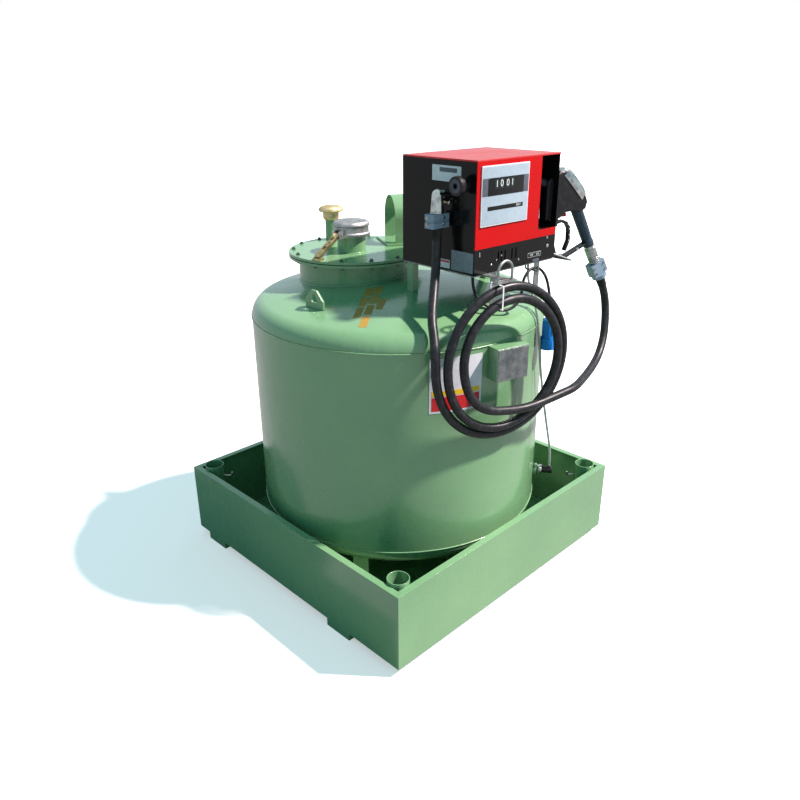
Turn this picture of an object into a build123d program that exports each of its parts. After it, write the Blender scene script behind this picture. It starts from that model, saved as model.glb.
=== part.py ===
from build123d import *
import math
import os

os.makedirs("parts", exist_ok=True)

# Tank: vertical shell with two dished ends
TANK_TURN = -2.9
TANK_DIAMETER = 1100.0
TANK_RADIUS = TANK_DIAMETER / 2
TANK_SHEET = 5.0
SHELL_HEIGHT = 740.0
CROWN_RADIUS = TANK_DIAMETER * 1.9727
KNUCKLE_RADIUS = 64.0

# Containment basin: a square open tray of folded sheet round the tank
BASIN_GAP = 60.0
BASIN_SIDE = TANK_DIAMETER + 2 * BASIN_GAP
BASIN_WALL_HEIGHT = 288.0
BASIN_SHEET = 5.0
RIM_LIP = 25.0
FOOT_HEIGHT = 30.0
FOOT_WIDTH = 120.0
FOOT_SHEET = 4.0
FOOT_SHARES = (-0.25, 0.3934)

# Corner sockets that take the poles of a weather roof
SOCKET_DIAMETER = 76.0
SOCKET_WALL = 3.0
SOCKET_PROUD = 12.0
HOOK_ROD = 8.0
HOOK_REACH = 34.0
HOOK_RISE = 16.0
HOOK_BELOW_RIM = 42.0

# Legs and lifting lugs
TANK_LIFT = 234.0
LEG_COUNT = 3
LEG_FIRST_ANGLE = 212.0
LEG_WIDTH = 58.0
LEG_SHEET = 8.0
LEG_INSET = 45.0
LEG_FLANGE = 46.0
LEG_PAD_BEHIND = 50.0
LEG_PAD_AHEAD = 12.0
LEG_PAD_BESIDE = 8.0
LUG_WIDTH = 90.0
LUG_HEIGHT = 62.0
LUG_SHEET = 8.0
LUG_HOLE = 22.0
LUG_INSET = 144.0
LUG_FIRST_ANGLE = 184.8

# Manway on the top end
MANWAY_X = TANK_RADIUS * -0.08545
MANWAY_Y = TANK_RADIUS * 0.34
MANWAY_RISE = 81.66
NECK_RADIUS = TANK_RADIUS * 0.40182
NECK_SHEET = 6.0
FLANGE_WIDTH = 37.0
FLANGE_RADIUS = NECK_RADIUS + FLANGE_WIDTH
FLANGE_THICKNESS = 10.0
GASKET_THICKNESS = 2.5
BOLT_COUNT = 14
BOLT_CIRCLE = (NECK_RADIUS + FLANGE_RADIUS) / 2
BOLT_HOLE = 13.0

# Filler pipe with a clamped cap
FILLER_X = MANWAY_X - FLANGE_RADIUS * 0.17442
FILLER_Y = MANWAY_Y - FLANGE_RADIUS * 0.11628
FILLER_RADIUS = 54.0
FILLER_WALL = 4.0
FILLER_HEIGHT = 74.0
FILLER_BELOW_COVER = 30.0
CAP_RADIUS = FILLER_RADIUS + 14.0
CAP_SKIRT = 36.0
CAP_DOME = 27.0
CAP_OVERLAP = 14.0
CAP_BEAD = 3.0
EAR_ANGLE = 193.0
EAR_LENGTH = 24.0
EAR_THICKNESS = 6.0
EAR_HEIGHT = 26.0
EAR_GAP = 1.0
PIN_DIAMETER = 6.0
PIN_PROUD = 2.0
PIN_CLEARANCE = 0.3
BAR_THICKNESS = 12.0
BAR_WIDTH = 24.0
BAR_SLOT = 8.0
BAR_SLOT_SHARES = (0.24, 0.45, 0.66)
BAR_END_RADIUS = FLANGE_RADIUS * 0.74806
BAR_REST_GAP = 0.3
STAPLE_LENGTH = 26.0
STAPLE_WIDTH = 32.0
STAPLE_HEIGHT = 8.0

# Vent pipe with a mushroom cap
VENT_X = MANWAY_X + FLANGE_RADIUS * 0.13953
VENT_Y = MANWAY_Y + FLANGE_RADIUS * 0.78295
VENT_RADIUS = 24.0
VENT_WALL = 3.0
VENT_HEIGHT = 88.0
VENT_NECK_RADIUS = 32.0
VENT_NECK_HEIGHT = 26.0
VENT_CAP_RADIUS = 50.0
VENT_CAP_HEIGHT = 24.0
VENT_SEAT = 6.0

# Arched hood over the suction fittings
HOOD_X = MANWAY_X + FLANGE_RADIUS * 0.68605
HOOD_Y = MANWAY_Y + FLANGE_RADIUS * 0.01163
HOOD_TURN = -26.6
HOOD_WIDTH = 170.0
HOOD_HEIGHT = 176.0
HOOD_LENGTH = 90.0
HOOD_SHEET = 2.5
HOOD_PLATE = 8.0
HOOD_PLATE_AHEAD = 34.0
HOOD_PLATE_BESIDE = 4.0

# Pump cabinet on posts over the front of the tank
PUMP_WIDTH = 411.0
PUMP_LEFT = -103.0
PUMP_SETBACK = 71.0
PUMP_FRONT = PUMP_SETBACK - TANK_RADIUS
PUMP_DEPTH = 335.0
PUMP_RISE = 15.5
PUMP_HEIGHT = 353.0
PUMP_BASE_HEIGHT = 82.0
LID_THICKNESS = 6.0
PANEL_THICKNESS = 3.0
RECESS_SHARE = 0.7591
RECESS_SILL = 25.0
SIDE_SHEET = 3.0
SIDE_NOTCH_DEPTH = 97.0
SIDE_NOTCH_BELOW_LID = 54.0
HOLSTER_DEPTH = 120.0
HOLSTER_BEHIND_FRONT = 44.0
HOLSTER_BESIDE = 42.0
HOLSTER_BELOW_LID = 40.0
HOLSTER_HEIGHT = 100.0
POST_WIDTH = 28.0
POST_SHEET = 4.0
POST_INSET = 19.0
SHELF_BAR_WIDTH = 40.0
SHELF_BAR = 5.0
SHELF_INSET = 2.0
STRUT_SHARES = (0.2993, 0.8589)
STRUT_WIDTH = 25.0
STRUT_SHEET = 5.0
STRUT_INSET = 34.0
METER_WIDTH = 226.0
METER_HEIGHT = 184.0
METER_THICKNESS = 4.0
METER_TOP_GAP = 12.0
METER_LEFT_GAP = 18.0
BASE_SLOT_SHARES = (0.2701, 0.3066, 0.3504, 0.4355, 0.4842)
BASE_SLOT_WIDTH = 6.0
BASE_SLOT_HEIGHT = 34.0
BASE_SLOT_DEPTH = 10.0
BASE_SLOT_BELOW_TOP = 18.0

# Delivery fittings on the cabinet's left side
HOSE_DIAMETER = 30.0
OUTLET_BESIDE = 47.0
OUTLET_BEHIND_FRONT = 122.0
OUTLET_BELOW_TOP = 107.0
OUTLET_DROP = 57.0
ARM_RADIUS = 15.0
DOME_RADIUS = 18.0
DOME_COLLAR_RADIUS = 21.5
DOME_COLLAR_HEIGHT = 7.0
CLAMP_HEIGHT = 44.0
CLAMP_WIDTH = 76.0
CLAMP_DEPTH = 40.0
CLAMP_WAIST = 5.0
CLAMP_WAIST_HEIGHT = 8.0
KNOB_RADIUS = 29.0
KNOB_RIM = 18.0
KNOB_STEM_RADIUS = 21.0
KNOB_LENGTH = 46.0
KNOB_BEHIND_FRONT = 47.0
KNOB_BELOW_TOP = 75.0

# Nozzle, hung in its own upright plane off the right of the cabinet
NOZZLE_LENGTH = 166.0
NOZZLE_INSIDE = 8.0
NOZZLE_BEHIND_FRONT = 49.0
NOZZLE_TURN = -12.0
NOZZLE_THICKNESS = 46.0
NOZZLE_ROUND = 6.0
HANDLE_LENGTH = 168.0
HANDLE_RADIUS = 21.0
HANDLE_FOOT_RADIUS = 19.0
HANDLE_LEAN = 29.0
HANDLE_IN_BODY = 20.0
SWIVEL_NECK = 14.0
SWIVEL_RING = 30.0
SWIVEL_FOOT = 34.0
NOZZLE_CLAMP_LENGTH = 66.0
NOZZLE_CLAMP_WIDTH = 62.0
NOZZLE_CLAMP_DEPTH = 40.0
SPOUT_RADIUS = 13.0
SPOUT_CLEARANCE = 0.4
GUARD_WIDTH = 24.0
GUARD_CHEEK = 3.0
TRIGGER_WIDTH = 16.0
TRIGGER_PIN_RADIUS = 3.0
TRIGGER_BOSS_RADIUS = 7.0
REST_ROD = 6.0
REST_REACH = 104.0
REST_DROP = 39.0
REST_WIDTH = 72.0
REST_ABOVE_BOTTOM = 13.0

# Hose coil, in an upright plane in front of the tank
COIL_BEHIND_LEFT = 31.0
COIL_AHEAD = 108.0
COIL_TURN = -12.0
COIL_THICKNESS = 62.0
COIL_OUTER = 270.0
COIL_OUTER_S = 4.0
COIL_OUTER_Z = -276.0
COIL_INNER = 172.0
COIL_INNER_S = 35.0
COIL_INNER_Z = -235.0
HANGER_SHEET = 5.0
HANGER_STRAP = 28.0
HANGER_ROD = 9.0
RING_WIDTH = 76.0
RING_HEIGHT = 66.0
TIE_WIDTH = 5.0
TIE_SHEET = 1.6
TIE_S = -35.0
TIE_GAP = 4.0

# Power cord and its plug
CORD_DIAMETER = 10.0
PLUG_RADIUS = 22.0
PLUG_COLLAR_RADIUS = 26.0
PLUG_WALL = 4.0
PLUG_LENGTH = 108.0
GLAND_RADIUS = 11.0
GLAND_LENGTH = 16.0
GLAND_INSET = 59.0
CORD_CREST_BELOW = 11.0
CORD_CREST_AHEAD = 24.0
CORD_HOOK_BESIDE = 272.0
CORD_HOOK_ROD = 6.0
CORD_HOOK_REACH = 36.0
HOOK_GAP = 0.3

# Nameplate on a bent bracket off the shell
PLATE_TURN = -12.0
PLATE_ANGLE = -93.645
PLATE_AHEAD = 55.5
PLATE_WIDTH = 122.0
PLATE_HEIGHT = 110.0
PLATE_BELOW_SEAM = 114.0
PLATE_SHEET = 1.5
PLATE_MARGIN = 3.0
BRACKET_SHEET = 4.0
BRACKET_DEPTH = 140.0

# Level gauge at the foot of the tank
GAUGE_ANGLE = -54.8
GAUGE_ABOVE_SEAM = 103.0
GAUGE_BOSS_RADIUS = 22.0
GAUGE_BOSS_LENGTH = 14.0
GAUGE_NUT_LENGTH = 20.0
GAUGE_ARM_RADIUS = 13.0
GAUGE_REACH = TANK_RADIUS + 62.0
GAUGE_ARM_PAST = 12.0
GAUGE_TUBE = 9.0
BARB_HEIGHT = 20.0
GAUGE_TOP_BESIDE = 299.0
GAUGE_TOP_BEHIND = 22.0

NODES = {}


def turned(shape):
    """Turn a shape from the tank's own frame to its place in the basin."""
    return shape.rotate(Axis.Z, TANK_TURN)


def keep(name, shape, on_tank=True):
    """Remember one node, in the basin's frame."""
    NODES[name] = turned(shape) if on_tank else shape


def box(x0, x1, y0, y1, z0, z1):
    """A box between two corners."""
    centre = ((x0 + x1) / 2, (y0 + y1) / 2, (z0 + z1) / 2)
    return Pos(*centre) * Box(abs(x1 - x0), abs(y1 - y0), abs(z1 - z0))


def tube(radius, wall, z0, z1, x=0.0, y=0.0):
    """An upright round tube."""
    ring = Cylinder(radius, z1 - z0) - Cylinder(radius - wall, z1 - z0 + 2)
    return Pos(x, y, (z0 + z1) / 2) * ring


def rod(start, end, radius):
    """A round rod between two points."""
    start = Vector(*start)
    end = Vector(*end)
    path = end - start
    plane = Plane(origin=start, z_dir=path)
    return extrude(plane * Circle(radius), path.length)


# Derived heights of the basin and tank
FLOOR_TOP = FOOT_HEIGHT + BASIN_SHEET
RIM_TOP = FOOT_HEIGHT + BASIN_WALL_HEIGHT
SHELL_BOTTOM = FLOOR_TOP + TANK_LIFT
SHELL_TOP = SHELL_BOTTOM + SHELL_HEIGHT
HEAD_REACH = TANK_RADIUS - KNUCKLE_RADIUS
HEAD_DROP = math.sqrt((CROWN_RADIUS - KNUCKLE_RADIUS) ** 2 - HEAD_REACH ** 2)
HEAD_HEIGHT = CROWN_RADIUS - HEAD_DROP
HEAD_LEAN = math.asin(HEAD_REACH / (CROWN_RADIUS - KNUCKLE_RADIUS))
FLANGE_TOP = SHELL_TOP + HEAD_HEIGHT + MANWAY_RISE
PUMP_BOTTOM = FLANGE_TOP + PUMP_RISE


def head_height(radius, inset=0.0):
    """Height of the dished end over its weld, at a radius, inset by a wall."""
    crown = CROWN_RADIUS - inset
    if radius <= crown * math.sin(HEAD_LEAN):
        return math.sqrt(crown ** 2 - radius ** 2) - HEAD_DROP
    knuckle = KNUCKLE_RADIUS - inset
    return math.sqrt(max(knuckle ** 2 - (radius - HEAD_REACH) ** 2, 0.0))


def head_arcs(inset):
    """Crown and knuckle arcs of the dished end's meridian, inset by a wall."""
    crown = CROWN_RADIUS - inset
    knuckle = KNUCKLE_RADIUS - inset
    half = HEAD_LEAN / 2
    top = (0, crown - HEAD_DROP)
    crown_mid = (crown * math.sin(half), crown * math.cos(half) - HEAD_DROP)
    join = (crown * math.sin(HEAD_LEAN), crown * math.cos(HEAD_LEAN) - HEAD_DROP)
    lean = (HEAD_LEAN + math.pi / 2) / 2
    knuckle_mid = (HEAD_REACH + knuckle * math.sin(lean), knuckle * math.cos(lean))
    side = (HEAD_REACH + knuckle, 0)
    return top, crown_mid, join, knuckle_mid, side


def dished_head():
    """A hollow dished end that opens downward, with its weld edge at z 0."""
    outer = head_arcs(0.0)
    inner = head_arcs(TANK_SHEET)
    with BuildPart() as head:
        with BuildSketch(Plane.XZ):
            with BuildLine():
                ThreePointArc(outer[0], outer[1], outer[2])
                ThreePointArc(outer[2], outer[3], outer[4])
                Line(outer[4], inner[4])
                ThreePointArc(inner[4], inner[3], inner[2])
                ThreePointArc(inner[2], inner[1], inner[0])
                Line(inner[0], outer[0])
            make_face()
        revolve(axis=Axis.Z)
    return head.part


def dished_body():
    """The dished end as a full body, with its flat side at z 0."""
    arcs = head_arcs(0.0)
    with BuildPart() as body:
        with BuildSketch(Plane.XZ):
            with BuildLine():
                ThreePointArc(arcs[0], arcs[1], arcs[2])
                ThreePointArc(arcs[2], arcs[3], arcs[4])
                Line(arcs[4], (0, 0))
                Line((0, 0), arcs[0])
            make_face()
        revolve(axis=Axis.Z)
    return body.part


def space_over_head():
    """A solid that fills the space over the top end, to trim what stands on it."""
    rise = PUMP_BOTTOM - SHELL_TOP
    return Pos(0, 0, SHELL_TOP) * (Pos(0, 0, rise / 2) * Cylinder(TANK_RADIUS, rise) - dished_body())


# Basin pieces
def basin_floor():
    half = BASIN_SIDE / 2 - BASIN_SHEET
    return box(-half, half, -half, half, FOOT_HEIGHT, FLOOR_TOP)


def basin_wall():
    """One wall along X at the front, mitred at both ends, with its folded lip."""
    half = BASIN_SIDE / 2
    profile = Polyline(
        (-half, FOOT_HEIGHT),
        (-half, RIM_TOP),
        (-half + RIM_LIP, RIM_TOP),
        (-half + RIM_LIP, RIM_TOP - BASIN_SHEET),
        (-half + BASIN_SHEET, RIM_TOP - BASIN_SHEET),
        (-half + BASIN_SHEET, FOOT_HEIGHT),
        (-half, FOOT_HEIGHT),
    )
    wall = extrude(Plane.YZ * make_face(profile), half, both=True)
    wedge = make_face(Polyline((0, 0), (-half - 9, -half - 9), (half + 9, -half - 9), (0, 0)))
    return wall & extrude(wedge, RIM_TOP + 9)


def basin_feet():
    """Two hollow bars across the basin, closed by a plate at each end."""
    feet = []
    half = BASIN_SIDE / 2
    inner_half = FOOT_WIDTH / 2 - FOOT_SHEET
    for share in FOOT_SHARES:
        y = BASIN_SIDE * share
        outer = box(-half, half, y - FOOT_WIDTH / 2, y + FOOT_WIDTH / 2, 0, FOOT_HEIGHT)
        inner_end = half - FOOT_SHEET
        inner_top = FOOT_HEIGHT - FOOT_SHEET
        inner = box(-inner_end, inner_end, y - inner_half, y + inner_half, FOOT_SHEET, inner_top)
        feet.append(outer - inner)
    return Compound(feet)


SOCKET_CENTRE = BASIN_SIDE / 2 - RIM_LIP - SOCKET_DIAMETER / 2
SOCKET_TOP = RIM_TOP + SOCKET_PROUD


def pole_sockets():
    tubes = []
    for sx in (-1, 1):
        for sy in (-1, 1):
            x = sx * SOCKET_CENTRE
            y = sy * SOCKET_CENTRE
            tubes.append(tube(SOCKET_DIAMETER / 2, SOCKET_WALL, FLOOR_TOP, SOCKET_TOP, x, y))
    return Compound(tubes)


def socket_hooks():
    """Bent locking rods that stand out of the sockets towards the tank."""
    hooks = []
    z = RIM_TOP - HOOK_BELOW_RIM
    for sx in (-1, 1):
        for sy in (-1, 1):
            start = SOCKET_CENTRE - SOCKET_DIAMETER / 2 * math.sqrt(0.5) + 1.0
            out = HOOK_REACH * math.sqrt(0.5)
            foot = Vector(sx * start, sy * start, z)
            bend = Vector(sx * (start - out), sy * (start - out), z)
            tip = bend + Vector(0, 0, HOOK_RISE)
            path = FilletPolyline(foot, bend, tip, radius=HOOK_ROD)
            section = Plane(origin=foot, z_dir=bend - foot) * Circle(HOOK_ROD / 2)
            hook = sweep(section, path=path)
            tube_solid = Pos(sx * SOCKET_CENTRE, sy * SOCKET_CENTRE, z) * Cylinder(SOCKET_DIAMETER / 2, 99)
            hooks.append(hook - tube_solid)
    return Compound(hooks)


# Tank pieces
def tank_shell():
    return tube(TANK_RADIUS, TANK_SHEET, SHELL_BOTTOM, SHELL_TOP)


def tank_top_head():
    head = Pos(0, 0, SHELL_TOP) * dished_head()
    return head - Pos(MANWAY_X, MANWAY_Y, SHELL_TOP + 50) * Cylinder(NECK_RADIUS, 400)


def tank_bottom_head():
    return Pos(0, 0, SHELL_BOTTOM) * dished_head().rotate(Axis.X, 180)


LEG_RADIUS = TANK_RADIUS - LEG_INSET
LUG_RADIUS = TANK_RADIUS - LUG_INSET


def tank_legs():
    """Flat legs under the bottom end, cut to its curve, with a foot pad each."""
    legs = []
    under = Pos(0, 0, SHELL_BOTTOM) * dished_body().rotate(Axis.X, 180)
    for index in range(LEG_COUNT):
        angle = LEG_FIRST_ANGLE + index * 360 / LEG_COUNT
        half = LEG_WIDTH / 2
        back = LEG_RADIUS - LEG_SHEET
        web = box(back, LEG_RADIUS, -half, half, FLOOR_TOP, SHELL_BOTTOM)
        side = box(back - LEG_FLANGE, back + 1, -half, -half + LEG_SHEET, FLOOR_TOP, SHELL_BOTTOM)
        pad_half = half + LEG_PAD_BESIDE
        pad_ends = (back - LEG_PAD_BEHIND, LEG_RADIUS + LEG_PAD_AHEAD)
        pad = box(*pad_ends, -pad_half, pad_half, FLOOR_TOP, FLOOR_TOP + LEG_SHEET)
        leg = (web + pad + side).rotate(Axis.Z, angle)
        legs.append(leg - under)
    return Compound(legs)


def lifting_lugs(over_head):
    """Two lugs across the tank, each an upright tapered plate with a round-cornered eye."""
    lugs = []
    base = SHELL_TOP + head_height(LUG_RADIUS)
    half = LUG_WIDTH / 2
    shoulder = LUG_HEIGHT * 0.45
    crest = half * 0.3
    outline = Polyline(
        (-half, -LUG_SHEET * 2), (-half, shoulder), (-crest, LUG_HEIGHT),
        (crest, LUG_HEIGHT), (half, shoulder), (half, -LUG_SHEET * 2),
        close=True,
    )
    eye = Pos(0, LUG_HEIGHT * 0.48) * RegularPolygon(LUG_HOLE, 3, rotation=90)
    eye = fillet(eye.vertices(), LUG_HOLE / 4)
    plate = extrude(Plane.YZ * (make_face(outline) - eye), LUG_SHEET)
    for index in range(2):
        lug = (Pos(LUG_RADIUS, 0, base) * plate).rotate(Axis.Z, LUG_FIRST_ANGLE + 180 * index)
        lugs.append(lug & over_head)
    return Compound(lugs)


# Manway pieces
COVER_BOTTOM = FLANGE_TOP - FLANGE_THICKNESS
NECK_FLANGE_TOP = COVER_BOTTOM - GASKET_THICKNESS
NECK_FLANGE_BOTTOM = NECK_FLANGE_TOP - FLANGE_THICKNESS


def bolt_holes(z0, z1):
    holes = []
    for index in range(BOLT_COUNT):
        angle = math.radians(index * 360 / BOLT_COUNT)
        x = MANWAY_X + BOLT_CIRCLE * math.cos(angle)
        y = MANWAY_Y + BOLT_CIRCLE * math.sin(angle)
        holes.append(Pos(x, y, (z0 + z1) / 2) * Cylinder(BOLT_HOLE / 2, z1 - z0 + 2))
    return holes


def manway_neck():
    foot = SHELL_TOP + head_height(math.hypot(MANWAY_X, MANWAY_Y) + NECK_RADIUS, TANK_SHEET) - 2
    neck = tube(NECK_RADIUS, NECK_SHEET, foot, NECK_FLANGE_BOTTOM, MANWAY_X, MANWAY_Y)
    width = FLANGE_WIDTH + NECK_SHEET
    ring = tube(FLANGE_RADIUS, width, NECK_FLANGE_BOTTOM, NECK_FLANGE_TOP, MANWAY_X, MANWAY_Y)
    return neck + ring


def manway_gasket():
    width = BOLT_CIRCLE - BOLT_HOLE - NECK_RADIUS + NECK_SHEET
    return tube(BOLT_CIRCLE - BOLT_HOLE, width, NECK_FLANGE_TOP, COVER_BOTTOM, MANWAY_X, MANWAY_Y)


def manway_cover():
    centre = (COVER_BOTTOM + FLANGE_TOP) / 2
    disc = Pos(MANWAY_X, MANWAY_Y, centre) * Cylinder(FLANGE_RADIUS, FLANGE_THICKNESS)
    disc -= Pos(FILLER_X, FILLER_Y, FLANGE_TOP) * Cylinder(FILLER_RADIUS, 90)
    disc -= Pos(VENT_X, VENT_Y, FLANGE_TOP) * Cylinder(VENT_RADIUS, 90)
    return disc


# Filler pieces
FILLER_TOP = FLANGE_TOP + FILLER_HEIGHT
CAP_BOTTOM = FILLER_TOP - CAP_OVERLAP
CAP_TOP = CAP_BOTTOM + CAP_SKIRT + CAP_DOME
PIN_REACH = EAR_LENGTH * 0.55
PIN_X = FILLER_X + (CAP_RADIUS + PIN_REACH) * math.cos(math.radians(EAR_ANGLE))
PIN_Y = FILLER_Y + (CAP_RADIUS + PIN_REACH) * math.sin(math.radians(EAR_ANGLE))
PIN_Z = CAP_BOTTOM + EAR_HEIGHT / 2


def filler_pipe():
    return tube(FILLER_RADIUS, FILLER_WALL, FLANGE_TOP - FILLER_BELOW_COVER, FILLER_TOP, FILLER_X, FILLER_Y)


def filler_cap():
    """A cast cap: skirt, waist and low dome, with a clevis for the lock bar."""
    waist = CAP_RADIUS - CAP_BEAD * 0.67
    rim = CAP_RADIUS + CAP_BEAD * 0.33
    with BuildPart() as cap:
        with BuildSketch(Plane.XZ):
            with BuildLine():
                Polyline(
                    (0, CAP_OVERLAP),
                    (FILLER_RADIUS, CAP_OVERLAP),
                    (FILLER_RADIUS, 0),
                    (CAP_RADIUS, 0),
                    (CAP_RADIUS + CAP_BEAD, CAP_SKIRT * 0.11),
                    (CAP_RADIUS + CAP_BEAD, CAP_SKIRT * 0.33),
                    (waist, CAP_SKIRT * 0.44),
                    (waist, CAP_SKIRT),
                    (rim, CAP_SKIRT + CAP_DOME * 0.11),
                )
                ThreePointArc(
                    (rim, CAP_SKIRT + CAP_DOME * 0.11),
                    (waist, CAP_SKIRT + CAP_DOME * 0.52),
                    (CAP_RADIUS * 0.79, CAP_SKIRT + CAP_DOME * 0.7),
                )
                Line((CAP_RADIUS * 0.79, CAP_SKIRT + CAP_DOME * 0.7), (0, CAP_SKIRT + CAP_DOME))
                Line((0, CAP_SKIRT + CAP_DOME), (0, CAP_OVERLAP))
            make_face()
        revolve(axis=Axis.Z)
    body = cap.part
    gap = BAR_WIDTH / 2 + EAR_GAP
    for side in (-1, 1):
        y0 = side * gap
        y1 = side * (gap + EAR_THICKNESS)
        ear = box(CAP_RADIUS - EAR_THICKNESS, CAP_RADIUS + EAR_LENGTH, y0, y1, 0, EAR_HEIGHT)
        body += ear
    pin_length = 2 * (gap + EAR_THICKNESS + PIN_PROUD)
    pin_place = Pos(CAP_RADIUS + PIN_REACH, 0, EAR_HEIGHT / 2)
    body += pin_place * Rot(90, 0, 0) * Cylinder(PIN_DIAMETER / 2, pin_length)
    body = body.rotate(Axis.Z, EAR_ANGLE)
    return Pos(FILLER_X, FILLER_Y, CAP_BOTTOM) * body


def filler_lock_bar():
    """A slotted bar that hangs from the clevis pin down to the staple on the rim."""
    run = BAR_END_RADIUS - CAP_RADIUS - PIN_REACH
    drop = PIN_Z - FLANGE_TOP - STAPLE_HEIGHT - BAR_REST_GAP - BAR_THICKNESS / 2
    reach = math.hypot(run, drop)
    lean = math.degrees(math.atan2(drop, run))
    with BuildPart() as bar:
        with BuildSketch(Plane.XZ):
            with Locations((reach / 2, 0)):
                SlotCenterToCenter(reach, BAR_THICKNESS)
            Circle(PIN_DIAMETER / 2 + PIN_CLEARANCE, mode=Mode.SUBTRACT)
        extrude(amount=BAR_WIDTH / 2, both=True)
        with BuildSketch(Plane.XY):
            for share in BAR_SLOT_SHARES:
                with Locations((reach * share, 0)):
                    SlotCenterToCenter(BAR_SLOT * 1.5, BAR_SLOT)
        extrude(amount=BAR_THICKNESS, both=True, mode=Mode.SUBTRACT)
    shape = bar.part.rotate(Axis.Y, lean).rotate(Axis.Z, EAR_ANGLE)
    return Pos(PIN_X, PIN_Y, PIN_Z) * shape


def lock_staple():
    """The low block on the rim that the lock bar comes down on."""
    centre = BAR_END_RADIUS
    half = STAPLE_WIDTH / 2
    ends = (centre - STAPLE_LENGTH / 2, centre + STAPLE_LENGTH / 2)
    block = box(*ends, -half, half, 0, STAPLE_HEIGHT)
    cover = Pos(MANWAY_X, MANWAY_Y, FLANGE_TOP) * Cylinder(FLANGE_RADIUS, STAPLE_HEIGHT * 3)
    return Pos(FILLER_X, FILLER_Y, FLANGE_TOP) * block.rotate(Axis.Z, EAR_ANGLE) & cover


# Vent pieces
VENT_TOP = FLANGE_TOP + VENT_HEIGHT


def vent_pipe():
    return tube(VENT_RADIUS, VENT_WALL, FLANGE_TOP - FLANGE_THICKNESS, VENT_TOP, VENT_X, VENT_Y)


def vent_cap():
    """A brass neck under a mushroom head, closed on top."""
    neck = VENT_NECK_HEIGHT
    top = neck + VENT_CAP_HEIGHT
    profile = Polyline(
        (0, VENT_SEAT),
        (VENT_RADIUS, VENT_SEAT),
        (VENT_RADIUS, -VENT_SEAT),
        (VENT_NECK_RADIUS - 3, -VENT_SEAT),
        (VENT_NECK_RADIUS, 0),
        (VENT_NECK_RADIUS, neck),
        (VENT_CAP_RADIUS - 4, neck),
        (VENT_CAP_RADIUS, neck + VENT_CAP_HEIGHT * 0.2),
        (VENT_CAP_RADIUS - 2, neck + VENT_CAP_HEIGHT * 0.5),
        (VENT_CAP_RADIUS * 0.8, neck + VENT_CAP_HEIGHT * 0.8),
        (VENT_CAP_RADIUS * 0.5, neck + VENT_CAP_HEIGHT * 0.95),
        (0, top),
        close=True,
    )
    return Pos(VENT_X, VENT_Y, VENT_TOP) * revolve(Plane.XZ * make_face(profile), Axis.Z)


# Hood pieces
def hood_place(shape):
    return Pos(HOOD_X, HOOD_Y, FLANGE_TOP) * shape.rotate(Axis.Z, HOOD_TURN)


def hood_plate():
    half = HOOD_WIDTH / 2
    side = half + HOOD_PLATE_BESIDE
    plate = box(-HOOD_PLATE_AHEAD, HOOD_LENGTH, -side, side, 0, HOOD_PLATE)
    cover = Pos(MANWAY_X, MANWAY_Y, FLANGE_TOP) * Cylinder(FLANGE_RADIUS, 90)
    return hood_place(plate) & cover


def fitting_hood():
    """An upright arch of thin sheet, open at both ends."""
    half = HOOD_WIDTH / 2
    with BuildPart() as arch:
        with BuildSketch(Plane.YZ):
            with BuildLine():
                Line((-half, 0), (-half, HOOD_HEIGHT - half))
                ThreePointArc((-half, HOOD_HEIGHT - half), (0, HOOD_HEIGHT), (half, HOOD_HEIGHT - half))
                Line((half, HOOD_HEIGHT - half), (half, 0))
                Line((half, 0), (half - HOOD_SHEET, 0))
                Line((half - HOOD_SHEET, 0), (half - HOOD_SHEET, HOOD_HEIGHT - half))
                ThreePointArc(
                    (half - HOOD_SHEET, HOOD_HEIGHT - half),
                    (0, HOOD_HEIGHT - HOOD_SHEET),
                    (-half + HOOD_SHEET, HOOD_HEIGHT - half),
                )
                Line((-half + HOOD_SHEET, HOOD_HEIGHT - half), (-half + HOOD_SHEET, 0))
                Line((-half + HOOD_SHEET, 0), (-half, 0))
            make_face()
        extrude(amount=HOOD_LENGTH)
    return hood_place(Pos(0, 0, HOOD_PLATE) * arch.part)


# Pump pieces
PUMP_RIGHT = PUMP_LEFT + PUMP_WIDTH
PUMP_BACK = PUMP_FRONT + PUMP_DEPTH
PUMP_TOP = PUMP_BOTTOM + PUMP_HEIGHT
BASE_TOP = PUMP_BOTTOM + PUMP_BASE_HEIGHT
LID_BOTTOM = PUMP_TOP - LID_THICKNESS
SHELF_BOTTOM = PUMP_BOTTOM - SHELF_BAR
RECESS_BACK = PUMP_FRONT + HOLSTER_DEPTH


def by_pump(x, y, z):
    """A point from the front left bottom corner of the cabinet, in the tank's frame."""
    return (PUMP_LEFT + x, PUMP_FRONT + y, PUMP_BOTTOM + z)


def pump_posts(over_head):
    """Two angle posts that carry the back of the cabinet off the top end."""
    posts = []
    y = PUMP_BACK - POST_INSET - POST_WIDTH
    for x in (PUMP_LEFT + SHELF_INSET, PUMP_RIGHT - SHELF_INSET - POST_WIDTH):
        front = box(x, x + POST_WIDTH, y, y + POST_SHEET, SHELL_TOP, SHELF_BOTTOM)
        side = box(x, x + POST_SHEET, y, y + POST_WIDTH, SHELL_TOP, SHELF_BOTTOM)
        posts.append((front + side) & over_head)
    return Compound(posts)


def pump_struts(over_head):
    """Two flat bars that carry the front of the cabinet."""
    struts = []
    y = PUMP_FRONT + STRUT_INSET
    for share in STRUT_SHARES:
        x = PUMP_LEFT + PUMP_WIDTH * share
        struts.append(box(x, x + STRUT_WIDTH, y, y + STRUT_SHEET, SHELL_TOP, SHELF_BOTTOM) & over_head)
    return Compound(struts)


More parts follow.
